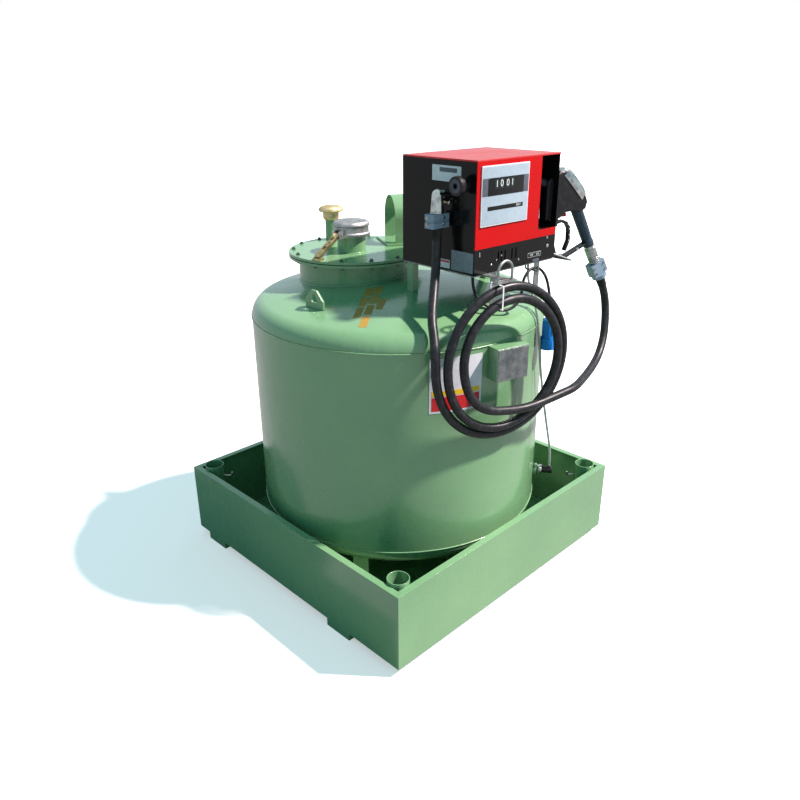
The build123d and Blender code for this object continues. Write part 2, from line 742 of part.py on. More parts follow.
def pump_shelf():
    """A frame of flat bars under the cabinet."""
    x0 = PUMP_LEFT + SHELF_INSET
    x1 = PUMP_RIGHT - SHELF_INSET
    y0 = PUMP_FRONT + SHELF_INSET
    y1 = PUMP_BACK - SHELF_INSET
    wide = SHELF_BAR_WIDTH
    frame = box(x0, x1, y0, y1, SHELF_BOTTOM, PUMP_BOTTOM)
    return frame - box(x0 + wide, x1 - wide, y0 + wide, y1 - wide, SHELF_BOTTOM - 1, PUMP_BOTTOM + 1)


def pump_base():
    base = box(PUMP_LEFT, PUMP_RIGHT, PUMP_FRONT, PUMP_BACK, PUMP_BOTTOM, BASE_TOP)
    z1 = BASE_TOP - BASE_SLOT_BELOW_TOP
    for share in BASE_SLOT_SHARES:
        x0 = PUMP_LEFT + PUMP_WIDTH * share
        x1 = x0 + BASE_SLOT_WIDTH
        base -= box(x0, x1, PUMP_FRONT - 1, PUMP_FRONT + BASE_SLOT_DEPTH, z1 - BASE_SLOT_HEIGHT, z1)
    return base


def side_recess(front, back, grow=0.0):
    """The open pocket at the cabinet's front right, over its sill and inside its side sheet."""
    x0 = PUMP_LEFT + PUMP_WIDTH * RECESS_SHARE
    return box(x0, PUMP_RIGHT - SIDE_SHEET + grow, front, back, BASE_TOP + RECESS_SILL, LID_BOTTOM + grow)


def pump_body():
    """The closed housing with its nozzle pocket and the notch in the pocket's side sheet."""
    front = PUMP_FRONT + PANEL_THICKNESS
    body = box(PUMP_LEFT, PUMP_RIGHT, front, PUMP_BACK, BASE_TOP, LID_BOTTOM)
    sill = BASE_TOP + RECESS_SILL
    notch_top = LID_BOTTOM - SIDE_NOTCH_BELOW_LID
    notch_back = PUMP_FRONT + SIDE_NOTCH_DEPTH
    inside = PUMP_RIGHT - 2 * SIDE_SHEET
    notch = box(inside, PUMP_RIGHT + 1, front - 1, notch_back, sill, notch_top)
    return body - side_recess(front - 1, RECESS_BACK) - notch


def pump_front_panel():
    back = PUMP_FRONT + PANEL_THICKNESS
    panel = box(PUMP_LEFT, PUMP_RIGHT, PUMP_FRONT, back, BASE_TOP, LID_BOTTOM)
    return panel - side_recess(PUMP_FRONT - 1, back + 1, SIDE_SHEET + 1)


def nozzle_holster():
    """A block in the recess with a slot that takes the spout."""
    z1 = LID_BOTTOM - HOLSTER_BELOW_LID
    front = PUMP_FRONT + HOLSTER_BEHIND_FRONT
    block = box(PUMP_LEFT, PUMP_RIGHT - HOLSTER_BESIDE, front, RECESS_BACK, z1 - HOLSTER_HEIGHT, z1)
    block &= side_recess(PUMP_FRONT, RECESS_BACK)
    start = nozzle_point(*sized(SPOUT_START))
    direction = nozzle_point(*sized(SPOUT_END)) - start
    return block - rod(start, start + direction * 1.4, SPOUT_RADIUS + SPOUT_CLEARANCE)


def pump_lid():
    return box(PUMP_LEFT, PUMP_RIGHT, PUMP_FRONT, PUMP_BACK, LID_BOTTOM, PUMP_TOP)


def meter_plate():
    x0 = PUMP_LEFT + METER_LEFT_GAP
    z1 = LID_BOTTOM - METER_TOP_GAP
    return box(x0, x0 + METER_WIDTH, PUMP_FRONT - METER_THICKNESS, PUMP_FRONT, z1 - METER_HEIGHT, z1)


def filter_knob():
    """A disc with a bored face on a slimmer stem."""
    y = PUMP_FRONT + KNOB_BEHIND_FRONT
    z = PUMP_TOP - KNOB_BELOW_TOP
    stem = rod((PUMP_LEFT, y, z), (PUMP_LEFT - KNOB_LENGTH + KNOB_RIM, y, z), KNOB_STEM_RADIUS)
    disc = rod((PUMP_LEFT - KNOB_LENGTH + KNOB_RIM, y, z), (PUMP_LEFT - KNOB_LENGTH, y, z), KNOB_RADIUS)
    face = (PUMP_LEFT - KNOB_LENGTH, y, z)
    bore = rod(face, (face[0] + KNOB_RIM / 2, y, z), KNOB_RADIUS / 4)
    return stem + disc - bore


OUTLET_X = PUMP_LEFT - OUTLET_BESIDE
OUTLET_Y = PUMP_FRONT + OUTLET_BEHIND_FRONT
OUTLET_Z = PUMP_TOP - OUTLET_BELOW_TOP
CLAMP_TOP = OUTLET_Z - OUTLET_DROP
CLAMP_BOTTOM = CLAMP_TOP - CLAMP_HEIGHT


def outlet_elbow():
    """A round arm off the cabinet into a domed fitting that widens down to its collar."""
    arm = rod((PUMP_LEFT, OUTLET_Y, OUTLET_Z), (OUTLET_X, OUTLET_Y, OUTLET_Z), ARM_RADIUS)
    collar_top = DOME_COLLAR_HEIGHT - OUTLET_DROP
    with BuildPart() as dome:
        with BuildSketch(Plane.XZ):
            with BuildLine():
                Line((0, -OUTLET_DROP), (DOME_COLLAR_RADIUS, -OUTLET_DROP))
                Line((DOME_COLLAR_RADIUS, -OUTLET_DROP), (DOME_COLLAR_RADIUS, collar_top))
                Line((DOME_COLLAR_RADIUS, collar_top), (DOME_RADIUS, 0))
                ThreePointArc(
                    (DOME_RADIUS, 0),
                    (DOME_RADIUS * math.sqrt(0.5), DOME_RADIUS * math.sqrt(0.5)),
                    (0, DOME_RADIUS),
                )
                Line((0, DOME_RADIUS), (0, -OUTLET_DROP))
            make_face()
        revolve(axis=Axis.Z)
    return Pos(OUTLET_X, OUTLET_Y, OUTLET_Z) * dome.part + arm


def pump_hose_clamp():
    """Two clamp jaws with a groove round the split between them."""
    centre = (CLAMP_BOTTOM + CLAMP_TOP) / 2
    block = Pos(OUTLET_X, OUTLET_Y, centre) * Box(CLAMP_WIDTH, CLAMP_DEPTH, CLAMP_HEIGHT)
    block = fillet(block.edges().filter_by(Axis.Z), CLAMP_WAIST)
    waist = Box(CLAMP_WIDTH + 2, CLAMP_DEPTH + 2, CLAMP_WAIST_HEIGHT)
    waist -= Box(CLAMP_WIDTH - CLAMP_WAIST, CLAMP_DEPTH - CLAMP_WAIST, CLAMP_WAIST_HEIGHT)
    return block - Pos(OUTLET_X, OUTLET_Y, centre) * waist


# Nozzle pieces, drawn in the nozzle's plane: across, then up from the cabinet's bottom,
# in shares of the nozzle's length
NOZZLE_PLANE = Plane(
    origin=(PUMP_RIGHT - NOZZLE_INSIDE, PUMP_FRONT + NOZZLE_BEHIND_FRONT, PUMP_BOTTOM),
    x_dir=(math.cos(math.radians(NOZZLE_TURN)), math.sin(math.radians(NOZZLE_TURN)), 0),
    z_dir=(math.sin(math.radians(NOZZLE_TURN)), -math.cos(math.radians(NOZZLE_TURN)), 0),
)
HANDLE_DIRECTION = (math.sin(math.radians(HANDLE_LEAN)), -math.cos(math.radians(HANDLE_LEAN)))
HANDLE_START = (0.8554, 0.9699)
SPOUT_START = (0.1807, 1.4157)
SPOUT_END = (-0.3494, 1.6205)
TRIGGER_PIVOT = (0.28916, 0.65663)
BODY_OUTLINE = (
    (-0.0361, 0.7470), (-0.0482, 1.5361), (0.1205, 1.6386), (0.3133, 1.7410),
    (0.4458, 1.7349), (1.0361, 1.1807), (1.0964, 1.0602), (1.0602, 0.9157),
    (0.9036, 0.8434), (0.6265, 0.8855), (0.5060, 0.8795), (0.3735, 0.7831),
    (0.2048, 0.7349),
)
GUARD_OUTER = (
    (0.0060, 0.7831), (0.0813, 0.6506), (0.1205, 0.4940),
    (0.3072, -0.0120), (0.3735, -0.0964), (0.6386, -0.1205),
)
GUARD_INNER = (
    (0.6506, -0.0542), (0.4217, -0.0301), (0.3614, 0.0181),
    (0.1867, 0.4819), (0.2169, 0.5843), (0.2169, 0.7831),
)
CHEEK_OUTLINE = ((0.1687, 0.7831), (0.2169, 0.5843), (0.3253, 0.5964), (0.3494, 0.8072))
CHEEK_GAP_CENTRE = (0.3373, 0.6687)
CHEEK_GAP_SIZE = (0.2289, 0.3133)
TRIGGER_OUTLINE = (
    (0.2651, 0.6265), (0.3012, 0.6928), (0.5060, 0.7169), (0.6386, 0.6627),
    (0.7289, 0.5422), (0.7470, 0.2530), (0.6506, 0.0301), (0.5964, 0.0482),
    (0.6867, 0.2651), (0.6747, 0.5060), (0.6024, 0.6145), (0.4940, 0.6627),
    (0.3373, 0.6325), (0.3012, 0.6084),
)


def nozzle_point(across, up, out=0.0):
    """A point of the nozzle's plane, in the tank's frame."""
    return NOZZLE_PLANE.from_local_coords(Vector(across, up, out))


def sized(share):
    """A point of an outline at the nozzle's size."""
    return (share[0] * NOZZLE_LENGTH, share[1] * NOZZLE_LENGTH)


def nozzle_slab(points, half):
    """An outline drawn out to both sides of the nozzle's plane."""
    return extrude(NOZZLE_PLANE * make_face(Polyline(*points, close=True)), half, both=True)


def handle_point(distance):
    """A point on the handle's axis, a distance from its start."""
    x, y = sized(HANDLE_START)
    return (x + HANDLE_DIRECTION[0] * distance, y + HANDLE_DIRECTION[1] * distance)


def handle_rod(start, end, radius):
    """A round piece on the handle's axis, between two distances along it."""
    return rod(nozzle_point(*handle_point(start)), nozzle_point(*handle_point(end)), radius)


def body_block(half):
    """The nozzle body's outline, drawn out to both sides."""
    return nozzle_slab([sized(share) for share in BODY_OUTLINE], half)


def nozzle_body():
    """A flat rounded body, bored for the spout and the handle."""
    plate = body_block(NOZZLE_THICKNESS / 2)
    sides = plate.faces().filter_by(lambda face: face.area > NOZZLE_LENGTH ** 2 / 3)
    edges = sides.edges()
    plate = chamfer(edges, NOZZLE_ROUND)
    return plate - handle_rod(-2 * HANDLE_IN_BODY, HANDLE_LENGTH, HANDLE_RADIUS) - nozzle_spout()


def nozzle_spout():
    return rod(nozzle_point(*sized(SPOUT_START)), nozzle_point(*sized(SPOUT_END)), SPOUT_RADIUS)


def nozzle_handle():
    """The grip: straight inside the body, then tapered down to its foot."""
    grip = HANDLE_LENGTH - HANDLE_IN_BODY
    taper = math.degrees(math.atan((HANDLE_RADIUS - HANDLE_FOOT_RADIUS) / grip))
    start = nozzle_point(*handle_point(HANDLE_IN_BODY))
    axis = nozzle_point(*handle_point(HANDLE_LENGTH)) - start
    tapered = extrude(Plane(origin=start, z_dir=axis) * Circle(HANDLE_RADIUS), grip, taper=taper)
    return handle_rod(-HANDLE_IN_BODY, HANDLE_IN_BODY, HANDLE_RADIUS) + tapered


def trigger_pin(radius, half):
    """A round piece across the nozzle at the trigger's pivot."""
    pivot = sized(TRIGGER_PIVOT)
    return rod(nozzle_point(*pivot, -half), nozzle_point(*pivot, half), radius)


def nozzle_guard():
    """A bent strip from the body to the handle's foot, with the trigger's clevis and pin."""
    half = GUARD_WIDTH / 2
    foot = handle_point(HANDLE_LENGTH - GUARD_WIDTH / 2)
    outer = [sized(share) for share in GUARD_OUTER]
    inner = [sized(share) for share in GUARD_INNER]
    ends = [foot, (foot[0], foot[1] + 3 * GUARD_CHEEK)]
    strip = nozzle_slab(outer + ends + inner, half)
    cheeks = nozzle_slab([sized(share) for share in CHEEK_OUTLINE], half)
    gap_size = sized(CHEEK_GAP_SIZE)
    gap = Pos(*sized(CHEEK_GAP_CENTRE), 0) * Box(*gap_size, 2 * (half - GUARD_CHEEK))
    strip = strip + (cheeks - NOZZLE_PLANE * gap) + trigger_pin(TRIGGER_PIN_RADIUS, half)
    return strip - body_block(NOZZLE_THICKNESS) - nozzle_handle()


def nozzle_trigger():
    """A bent lever with a bored boss on the clevis pin."""
    half = TRIGGER_WIDTH / 2
    lever = nozzle_slab([sized(share) for share in TRIGGER_OUTLINE], half)
    lever = lever + trigger_pin(TRIGGER_BOSS_RADIUS, half)
    return lever - trigger_pin(TRIGGER_PIN_RADIUS + PIN_CLEARANCE, half + 1)


SWIVEL_RING_START = HANDLE_LENGTH + SWIVEL_NECK
SWIVEL_RING_END = SWIVEL_RING_START + SWIVEL_RING
NOZZLE_CLAMP_START = SWIVEL_RING_END + SWIVEL_FOOT
NOZZLE_CLAMP_END = NOZZLE_CLAMP_START + NOZZLE_CLAMP_LENGTH


def nozzle_swivel():
    """The swivel joint: a neck, a wide ring and a lower neck."""
    neck = handle_rod(HANDLE_LENGTH, SWIVEL_RING_START, HANDLE_RADIUS * 0.81)
    ring = handle_rod(SWIVEL_RING_START, SWIVEL_RING_END, HANDLE_RADIUS)
    low = handle_rod(SWIVEL_RING_END, NOZZLE_CLAMP_START, HANDLE_RADIUS * 0.86)
    return neck + ring + low


def nozzle_hose_clamp():
    """Two clamp jaws round the hose's end, with a flange at their foot."""
    start = nozzle_point(*handle_point(NOZZLE_CLAMP_START))
    axis = nozzle_point(*handle_point(NOZZLE_CLAMP_END)) - start
    plane = Plane(origin=start, x_dir=NOZZLE_PLANE.z_dir, z_dir=axis)
    flange = NOZZLE_CLAMP_LENGTH * 0.22
    jaws_length = NOZZLE_CLAMP_LENGTH - flange
    jaws = Pos(0, 0, jaws_length / 2) * Box(NOZZLE_CLAMP_DEPTH, NOZZLE_CLAMP_WIDTH, jaws_length)
    foot = Pos(0, 0, jaws_length + flange / 2) * Cylinder(NOZZLE_CLAMP_DEPTH * 0.7, flange)
    return plane * (jaws + foot)


def nozzle_rest():
    """A bent wire off the cabinet's base that the guard sits on."""
    y0 = PUMP_FRONT + 1.5 * REST_ROD
    y1 = y0 + REST_WIDTH
    z_in = PUMP_BOTTOM + REST_ABOVE_BOTTOM
    z_out = z_in - REST_DROP
    reach = PUMP_RIGHT + REST_REACH
    path = FilletPolyline(
        (PUMP_RIGHT, y0, z_in), (reach, y0 - REST_WIDTH * 0.3, z_out),
        (reach - REST_ROD, y1 - REST_WIDTH * 0.2, z_out), (PUMP_RIGHT, y1, z_in),
        radius=2.5 * REST_ROD,
    )
    section = Plane(origin=(PUMP_RIGHT, y0, z_in), z_dir=path % 0) * Circle(REST_ROD / 2)
    outside = box(PUMP_RIGHT, reach + REST_ROD, y0 - REST_WIDTH, y1 + REST_WIDTH, 0, PUMP_TOP)
    return sweep(section, path=path) & outside


# Hose pieces, in the coil's plane: across, up from the cabinet's bottom, and out to the front
COIL_Y = PUMP_FRONT - COIL_AHEAD
COIL_X = PUMP_LEFT + COIL_BEHIND_LEFT
COIL_PLANE = Plane(
    origin=(COIL_X, COIL_Y, PUMP_BOTTOM),
    x_dir=(math.cos(math.radians(COIL_TURN)), math.sin(math.radians(COIL_TURN)), 0),
    z_dir=(math.sin(math.radians(COIL_TURN)), -math.cos(math.radians(COIL_TURN)), 0),
)

# Ends of the two stubs, in shares of the coil's outer radius
DROP_STUB_START = (-0.8963, -0.7778, -0.0519)
DROP_STUB_END = (-0.8481, -0.6037, -0.1926)
TAIL_STUB_START = (0.4074, -1.6444, 0.0815)
TAIL_STUB_END = (0.9556, -1.6074, 0.0148)

# Routes of the two free runs, in hose diameters from the fitting that each ends in
DROP_ROUTE = ((0.0, 0.0, -2.2), (-0.4333, -0.3333, -4.5333), (-1.8333, -1.5, -6.6))
TAIL_ROUTE = (
    (-8.028, -4.368, -10.470), (-5.028, -3.401, -10.237), (-2.195, -2.434, -9.537),
    (-0.128, -1.634, -7.837), (1.005, -0.901, -5.670), (1.272, -0.468, -3.570),
)


def coil_point(share):
    """A point of the coil's plane, in the tank's frame."""
    return COIL_PLANE.from_local_coords(Vector(*share) * COIL_OUTER)


def past_stub(start, end, distance):
    """A point on a stub's own axis, a distance past its end."""
    start = coil_point(start)
    end = coil_point(end)
    return tuple(end + (end - start).normalized() * distance)


def from_fitting(fitting, steps, unit):
    """A route's points, each given in units from a fitting."""
    return [tuple(Vector(*fitting) + Vector(*step) * unit) for step in steps]


def hose_coil():
    """The outer shape of the coiled hose, with the stubs where both ends leave."""
    half = COIL_THICKNESS / 2
    outer = Pos(COIL_OUTER_S, COIL_OUTER_Z) * Circle(COIL_OUTER)
    inner = Pos(COIL_INNER_S, COIL_INNER_Z) * Circle(COIL_INNER)
    ring = extrude(COIL_PLANE * (outer - inner), half, both=True)
    drop_stub = rod(coil_point(DROP_STUB_START), coil_point(DROP_STUB_END), HOSE_DIAMETER / 2)
    tail_stub = rod(coil_point(TAIL_STUB_START), coil_point(TAIL_STUB_END), HOSE_DIAMETER / 2)
    return ring + drop_stub + tail_stub


def cord_tube(name, points, diameter):
    """A tube through chosen points, each corner an arc as large as its runs allow."""
    points = [Vector(*point) for point in points]
    radii = []
    for before, here, after in zip(points, points[1:], points[2:]):
        into = here - before
        out = after - here
        half_turn = math.radians(into.get_angle(out)) / 2
        radii.append(0.45 * min(into.length, out.length) / math.tan(half_turn))
    path = FilletPolyline(*points, radius=radii)
    section = Plane(origin=points[0], z_dir=points[1] - points[0]) * Circle(diameter / 2)
    print(name, "length", round(path.length), "radii", [round(radius) for radius in radii])
    return sweep(section, path=path)


HOSE_DROP_POINTS = [
    (OUTLET_X, OUTLET_Y, CLAMP_BOTTOM),
    *from_fitting((OUTLET_X, OUTLET_Y, CLAMP_BOTTOM), DROP_ROUTE, HOSE_DIAMETER),
    past_stub(DROP_STUB_START, DROP_STUB_END, HOSE_DIAMETER * 2.07),
    tuple(coil_point(DROP_STUB_END)),
]
NOZZLE_HOSE_END = tuple(nozzle_point(*handle_point(NOZZLE_CLAMP_END)))
HOSE_TAIL_POINTS = [
    tuple(coil_point(TAIL_STUB_END)),
    past_stub(TAIL_STUB_START, TAIL_STUB_END, HOSE_DIAMETER * 2.47),
    *from_fitting(NOZZLE_HOSE_END, TAIL_ROUTE, HOSE_DIAMETER),
    tuple(nozzle_point(*handle_point(NOZZLE_CLAMP_END + HOSE_DIAMETER * 1.93))),
    NOZZLE_HOSE_END,
]


def hose_hanger():
    """A flat strap under the cabinet with a bent rod eye, and the rod that holds the power cord."""
    z0 = PUMP_BOTTOM - HANGER_SHEET
    strap_x0 = COIL_X + HANGER_ROD
    strap = box(strap_x0, strap_x0 + HANGER_STRAP, COIL_Y, PUMP_FRONT + SHELF_INSET, z0, PUMP_BOTTOM)
    half = RING_WIDTH / 2 - HANGER_ROD / 2
    cross_half = RING_WIDTH / 2 + HANGER_SHEET
    cross_back = COIL_Y + 2 * HANGER_ROD
    cross = box(COIL_X - cross_half, COIL_X + cross_half, COIL_Y - HANGER_SHEET, cross_back, z0, PUMP_BOTTOM)
    foot = PUMP_BOTTOM - 1
    top = PUMP_BOTTOM + RING_HEIGHT - HANGER_ROD / 2
    y = COIL_Y + HANGER_ROD * 0.7
    left = Line((COIL_X - half, y, foot), (COIL_X - half, y, top - half))
    bend = ThreePointArc((COIL_X - half, y, top - half), (COIL_X, y, top), (COIL_X + half, y, top - half))
    right = Line((COIL_X + half, y, top - half), (COIL_X + half, y, foot))
    section = Plane(origin=(COIL_X - half, y, foot), z_dir=(0, 0, 1)) * Circle(HANGER_ROD / 2)
    eye = sweep(section, path=left + bend + right)
    return Compound([strap + cross + eye, cord_hook()])


def cord_hook():
    """A bent rod under the front bar that the power cord hangs over."""
    x = PUMP_LEFT + CORD_HOOK_BESIDE
    y = PUMP_FRONT - CORD_CREST_AHEAD
    z = PUMP_BOTTOM - CORD_CREST_BELOW - CORD_DIAMETER / 2 - HOOK_GAP - CORD_HOOK_ROD / 2
    back = y + CORD_HOOK_REACH
    front = y - CORD_HOOK_REACH / 2
    path = FilletPolyline(
        (x, back, SHELF_BOTTOM), (x, back, z), (x, front, z), (x, front, SHELF_BOTTOM),
        radius=CORD_HOOK_ROD,
    )
    return sweep(Plane(origin=path @ 0, z_dir=path % 0) * Circle(CORD_HOOK_ROD / 2), path=path)


def cable_tie():
    """A band round the top strands, tight under the strap of the hanger."""
    outer_z = -HANGER_SHEET
    inner_z = COIL_INNER_Z + math.sqrt(COIL_INNER ** 2 - (TIE_S - COIL_INNER_S) ** 2) - TIE_GAP
    half = COIL_THICKNESS / 2 + 0.5
    centre = (outer_z + inner_z) / 2
    frame = Box(TIE_WIDTH, outer_z - inner_z, 2 * half + 2 * TIE_SHEET)
    hole = Box(TIE_WIDTH + 2, outer_z - inner_z - 2 * TIE_SHEET, 2 * half)
    return COIL_PLANE * Pos(TIE_S, centre, 0) * (frame - hole)


# Power cord, in cord diameters from the gland's end
GLAND_END = by_pump(GLAND_INSET, GLAND_INSET, -GLAND_LENGTH)
POWER_ROUTE = (
    (0.0, 0.0, -5.8), (2.4, -3.8, -10.1), (7.0, -7.4, -12.2), (11.9, -8.8, -11.3), (15.4, -8.6, -7.8),
    (15.4, -8.5, -3.0), (18.9, -8.3, 0.5), (23.7, -8.3, 0.5), (27.2, -9.2, -3.0), (27.2, -11.0, -8.1),
    (27.0, -12.1, -13.1), (27.0, -12.1, -17.9),
)
POWER_CORD_POINTS = [GLAND_END, *from_fitting(GLAND_END, POWER_ROUTE, CORD_DIAMETER)]


def cord_gland():
    x, y, z = GLAND_END
    return Pos(x, y, z + GLAND_LENGTH / 2) * Cylinder(GLAND_RADIUS, GLAND_LENGTH)


def power_plug():
    """An industrial plug that hangs mouth down, with its wide collar."""
    x, y, z = POWER_CORD_POINTS[-1]
    body = Pos(x, y, z - PLUG_LENGTH * 0.3) * Cylinder(PLUG_RADIUS, PLUG_LENGTH * 0.6)
    collar = Pos(x, y, z - PLUG_LENGTH * 0.8) * Cylinder(PLUG_COLLAR_RADIUS, PLUG_LENGTH * 0.4)
    mouth = Pos(x, y, z - PLUG_LENGTH) * Cylinder(PLUG_COLLAR_RADIUS - PLUG_WALL, PLUG_LENGTH * 0.5)
    return body + collar - mouth


# Nameplate pieces
PLATE_REACH = TANK_RADIUS + PLATE_AHEAD
PLATE_BOTTOM = SHELL_TOP - PLATE_BELOW_SEAM
PLATE_PLANE = Plane(
    origin=(
        PLATE_REACH * math.cos(math.radians(PLATE_ANGLE)),
        PLATE_REACH * math.sin(math.radians(PLATE_ANGLE)),
        PLATE_BOTTOM,
    ),
    x_dir=(math.cos(math.radians(PLATE_TURN)), math.sin(math.radians(PLATE_TURN)), 0),
    z_dir=(math.sin(math.radians(PLATE_TURN)), -math.cos(math.radians(PLATE_TURN)), 0),
)


def nameplate():
    plate = Box(PLATE_WIDTH, PLATE_HEIGHT, PLATE_SHEET)
    return PLATE_PLANE * Pos(0, PLATE_HEIGHT / 2, PLATE_SHEET / 2) * plate


def nameplate_bracket():
    """A bent sheet: front face, top face and left side face back to the shell."""
    top = PLATE_HEIGHT + PLATE_MARGIN
    half = PLATE_WIDTH / 2 + PLATE_MARGIN
    depth = BRACKET_DEPTH
    front = Pos(0, top / 2, -BRACKET_SHEET / 2) * Box(2 * half, top, BRACKET_SHEET)
    roof = Pos(0, top - BRACKET_SHEET / 2, -depth / 2) * Box(2 * half, BRACKET_SHEET, depth)
    cheek = Pos(-half + BRACKET_SHEET / 2, top / 2, -depth / 2) * Box(BRACKET_SHEET, top, depth)
    bracket = PLATE_PLANE * (front + roof + cheek)
    return bracket - Pos(0, 0, (SHELL_TOP + SHELL_BOTTOM) / 2) * Cylinder(TANK_RADIUS, SHELL_HEIGHT)


# Gauge pieces
GAUGE_Z = SHELL_BOTTOM + GAUGE_ABOVE_SEAM
GAUGE_NUT_START = TANK_RADIUS + GAUGE_BOSS_LENGTH
GAUGE_NUT_END = GAUGE_NUT_START + GAUGE_NUT_LENGTH
GAUGE_BARB_TOP = GAUGE_Z + BARB_HEIGHT

# Route of the tube: angle round the tank, distance off its shell, share of the way up
GAUGE_ROUTE = (
    (-54.80, 62.0, 0.0723), (-57.48, 48.9, 0.1783), (-60.23, 34.1, 0.2988), (-63.70, 23.3, 0.4253),
    (-67.64, 17.7, 0.5518), (-70.61, 16.1, 0.6783), (-70.88, 2.5, 0.8048), (-68.03, -36.7, 0.9012),
)


def round_tank(angle, reach, z):
    """A point at an angle round the tank and a distance from its axis."""
    return (reach * math.cos(math.radians(angle)), reach * math.sin(math.radians(angle)), z)


def gauge_ring(radius, near, far):
    """A round piece on the gauge's axis, between two distances from the tank's axis."""
    return rod(round_tank(GAUGE_ANGLE, near, GAUGE_Z), round_tank(GAUGE_ANGLE, far, GAUGE_Z), radius)


def gauge_boss():
    shell = Pos(0, 0, GAUGE_Z) * Cylinder(TANK_RADIUS, 9 * GAUGE_BOSS_RADIUS)
    return gauge_ring(GAUGE_BOSS_RADIUS, TANK_RADIUS - GAUGE_BOSS_LENGTH, GAUGE_NUT_START) - shell


def gauge_nut():
    """A six-sided nut on the boss."""
    start = round_tank(GAUGE_ANGLE, GAUGE_NUT_START, GAUGE_Z)
    axis = round_tank(GAUGE_ANGLE, 1.0, 0.0)
    plane = Plane(origin=start, x_dir=(0, 0, 1), z_dir=axis)
    return extrude(plane * RegularPolygon(GAUGE_BOSS_RADIUS - 2, 6), GAUGE_NUT_LENGTH)


def gauge_elbow():
    """The arm from the nut and the barb that the tube is pushed on."""
    arm = gauge_ring(GAUGE_ARM_RADIUS, GAUGE_NUT_END, GAUGE_REACH + GAUGE_ARM_PAST)
    foot = round_tank(GAUGE_ANGLE, GAUGE_REACH, GAUGE_Z)
    barb = rod(foot, (foot[0], foot[1], GAUGE_BARB_TOP), GAUGE_TUBE)
    return arm + barb


GAUGE_TOP = by_pump(GAUGE_TOP_BESIDE, GAUGE_TOP_BEHIND, -SHELF_BAR)
GAUGE_TUBE_POINTS = [round_tank(GAUGE_ANGLE, GAUGE_REACH, GAUGE_BARB_TOP)]
for angle, off, share in GAUGE_ROUTE:
    z = GAUGE_BARB_TOP + (GAUGE_TOP[2] - GAUGE_BARB_TOP) * share
    GAUGE_TUBE_POINTS.append(round_tank(angle, TANK_RADIUS + off, z))
GAUGE_TUBE_POINTS += [(GAUGE_TOP[0], GAUGE_TOP[1], GAUGE_TOP[2] - 5 * GAUGE_TUBE), GAUGE_TOP]


def build():
    over_head = space_over_head()
    keep("basin_floor", basin_floor(), False)
    for index, name in enumerate(("front", "right", "back", "left")):
        keep("basin_wall_" + name, basin_wall().rotate(Axis.Z, 90 * index), False)
    keep("basin_feet", basin_feet(), False)
    keep("pole_sockets", pole_sockets(), False)
    keep("socket_hooks", socket_hooks(), False)
    keep("tank_shell", tank_shell())
    keep("tank_top_head", tank_top_head())
    keep("tank_bottom_head", tank_bottom_head())
    keep("tank_legs", tank_legs())
    keep("lifting_lugs", lifting_lugs(over_head))
    keep("manway_neck", manway_neck())
    keep("manway_gasket", manway_gasket())
    keep("manway_cover", manway_cover())
    keep("filler_pipe", filler_pipe())
    keep("filler_cap", filler_cap())
    keep("filler_lock_bar", filler_lock_bar())
    keep("lock_staple", lock_staple())
    keep("vent_pipe", vent_pipe())
    keep("vent_cap", vent_cap())
    keep("hood_plate", hood_plate())
    keep("fitting_hood", fitting_hood())
    keep("pump_posts", pump_posts(over_head))
    keep("pump_struts", pump_struts(over_head))
    keep("pump_shelf", pump_shelf())
    keep("pump_base", pump_base())
    keep("pump_body", pump_body())
    keep("pump_front_panel", pump_front_panel())
    keep("pump_lid", pump_lid())
    keep("meter_plate", meter_plate())
    keep("filter_knob", filter_knob())
    keep("outlet_elbow", outlet_elbow())
    keep("pump_hose_clamp", pump_hose_clamp())
    keep("nozzle_holster", nozzle_holster())
    keep("nozzle_body", nozzle_body())
    keep("nozzle_spout", nozzle_spout())
    keep("nozzle_handle", nozzle_handle())
    keep("nozzle_guard", nozzle_guard())
    keep("nozzle_trigger", nozzle_trigger())
    keep("nozzle_swivel", nozzle_swivel())
    keep("nozzle_hose_clamp", nozzle_hose_clamp())
    keep("nozzle_rest", nozzle_rest())
    keep("hose_hanger", hose_hanger())
    keep("cable_tie", cable_tie())
    keep("hose_drop", cord_tube("hose_drop", HOSE_DROP_POINTS, HOSE_DIAMETER))
    keep("hose_coil", hose_coil())
    keep("hose_tail", cord_tube("hose_tail", HOSE_TAIL_POINTS, HOSE_DIAMETER))
    keep("cord_gland", cord_gland())
    keep("power_cord", cord_tube("power_cord", POWER_CORD_POINTS, CORD_DIAMETER))
    keep("power_plug", power_plug())
    keep("nameplate_bracket", nameplate_bracket())
    keep("nameplate", nameplate())
    keep("gauge_boss", gauge_boss())
    keep("gauge_nut", gauge_nut())
    keep("gauge_elbow", gauge_elbow())
    keep("gauge_tube", cord_tube("gauge_tube", GAUGE_TUBE_POINTS, GAUGE_TUBE))


build()
for name, shape in NODES.items():
    export_step(shape, "parts/" + name + ".step")
    print(name, round(shape.volume), len(shape.solids()))
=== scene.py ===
import logging
import math
from dataclasses import dataclass
from enum import Enum

import bmesh
import bpy
from mathutils import Matrix, Vector


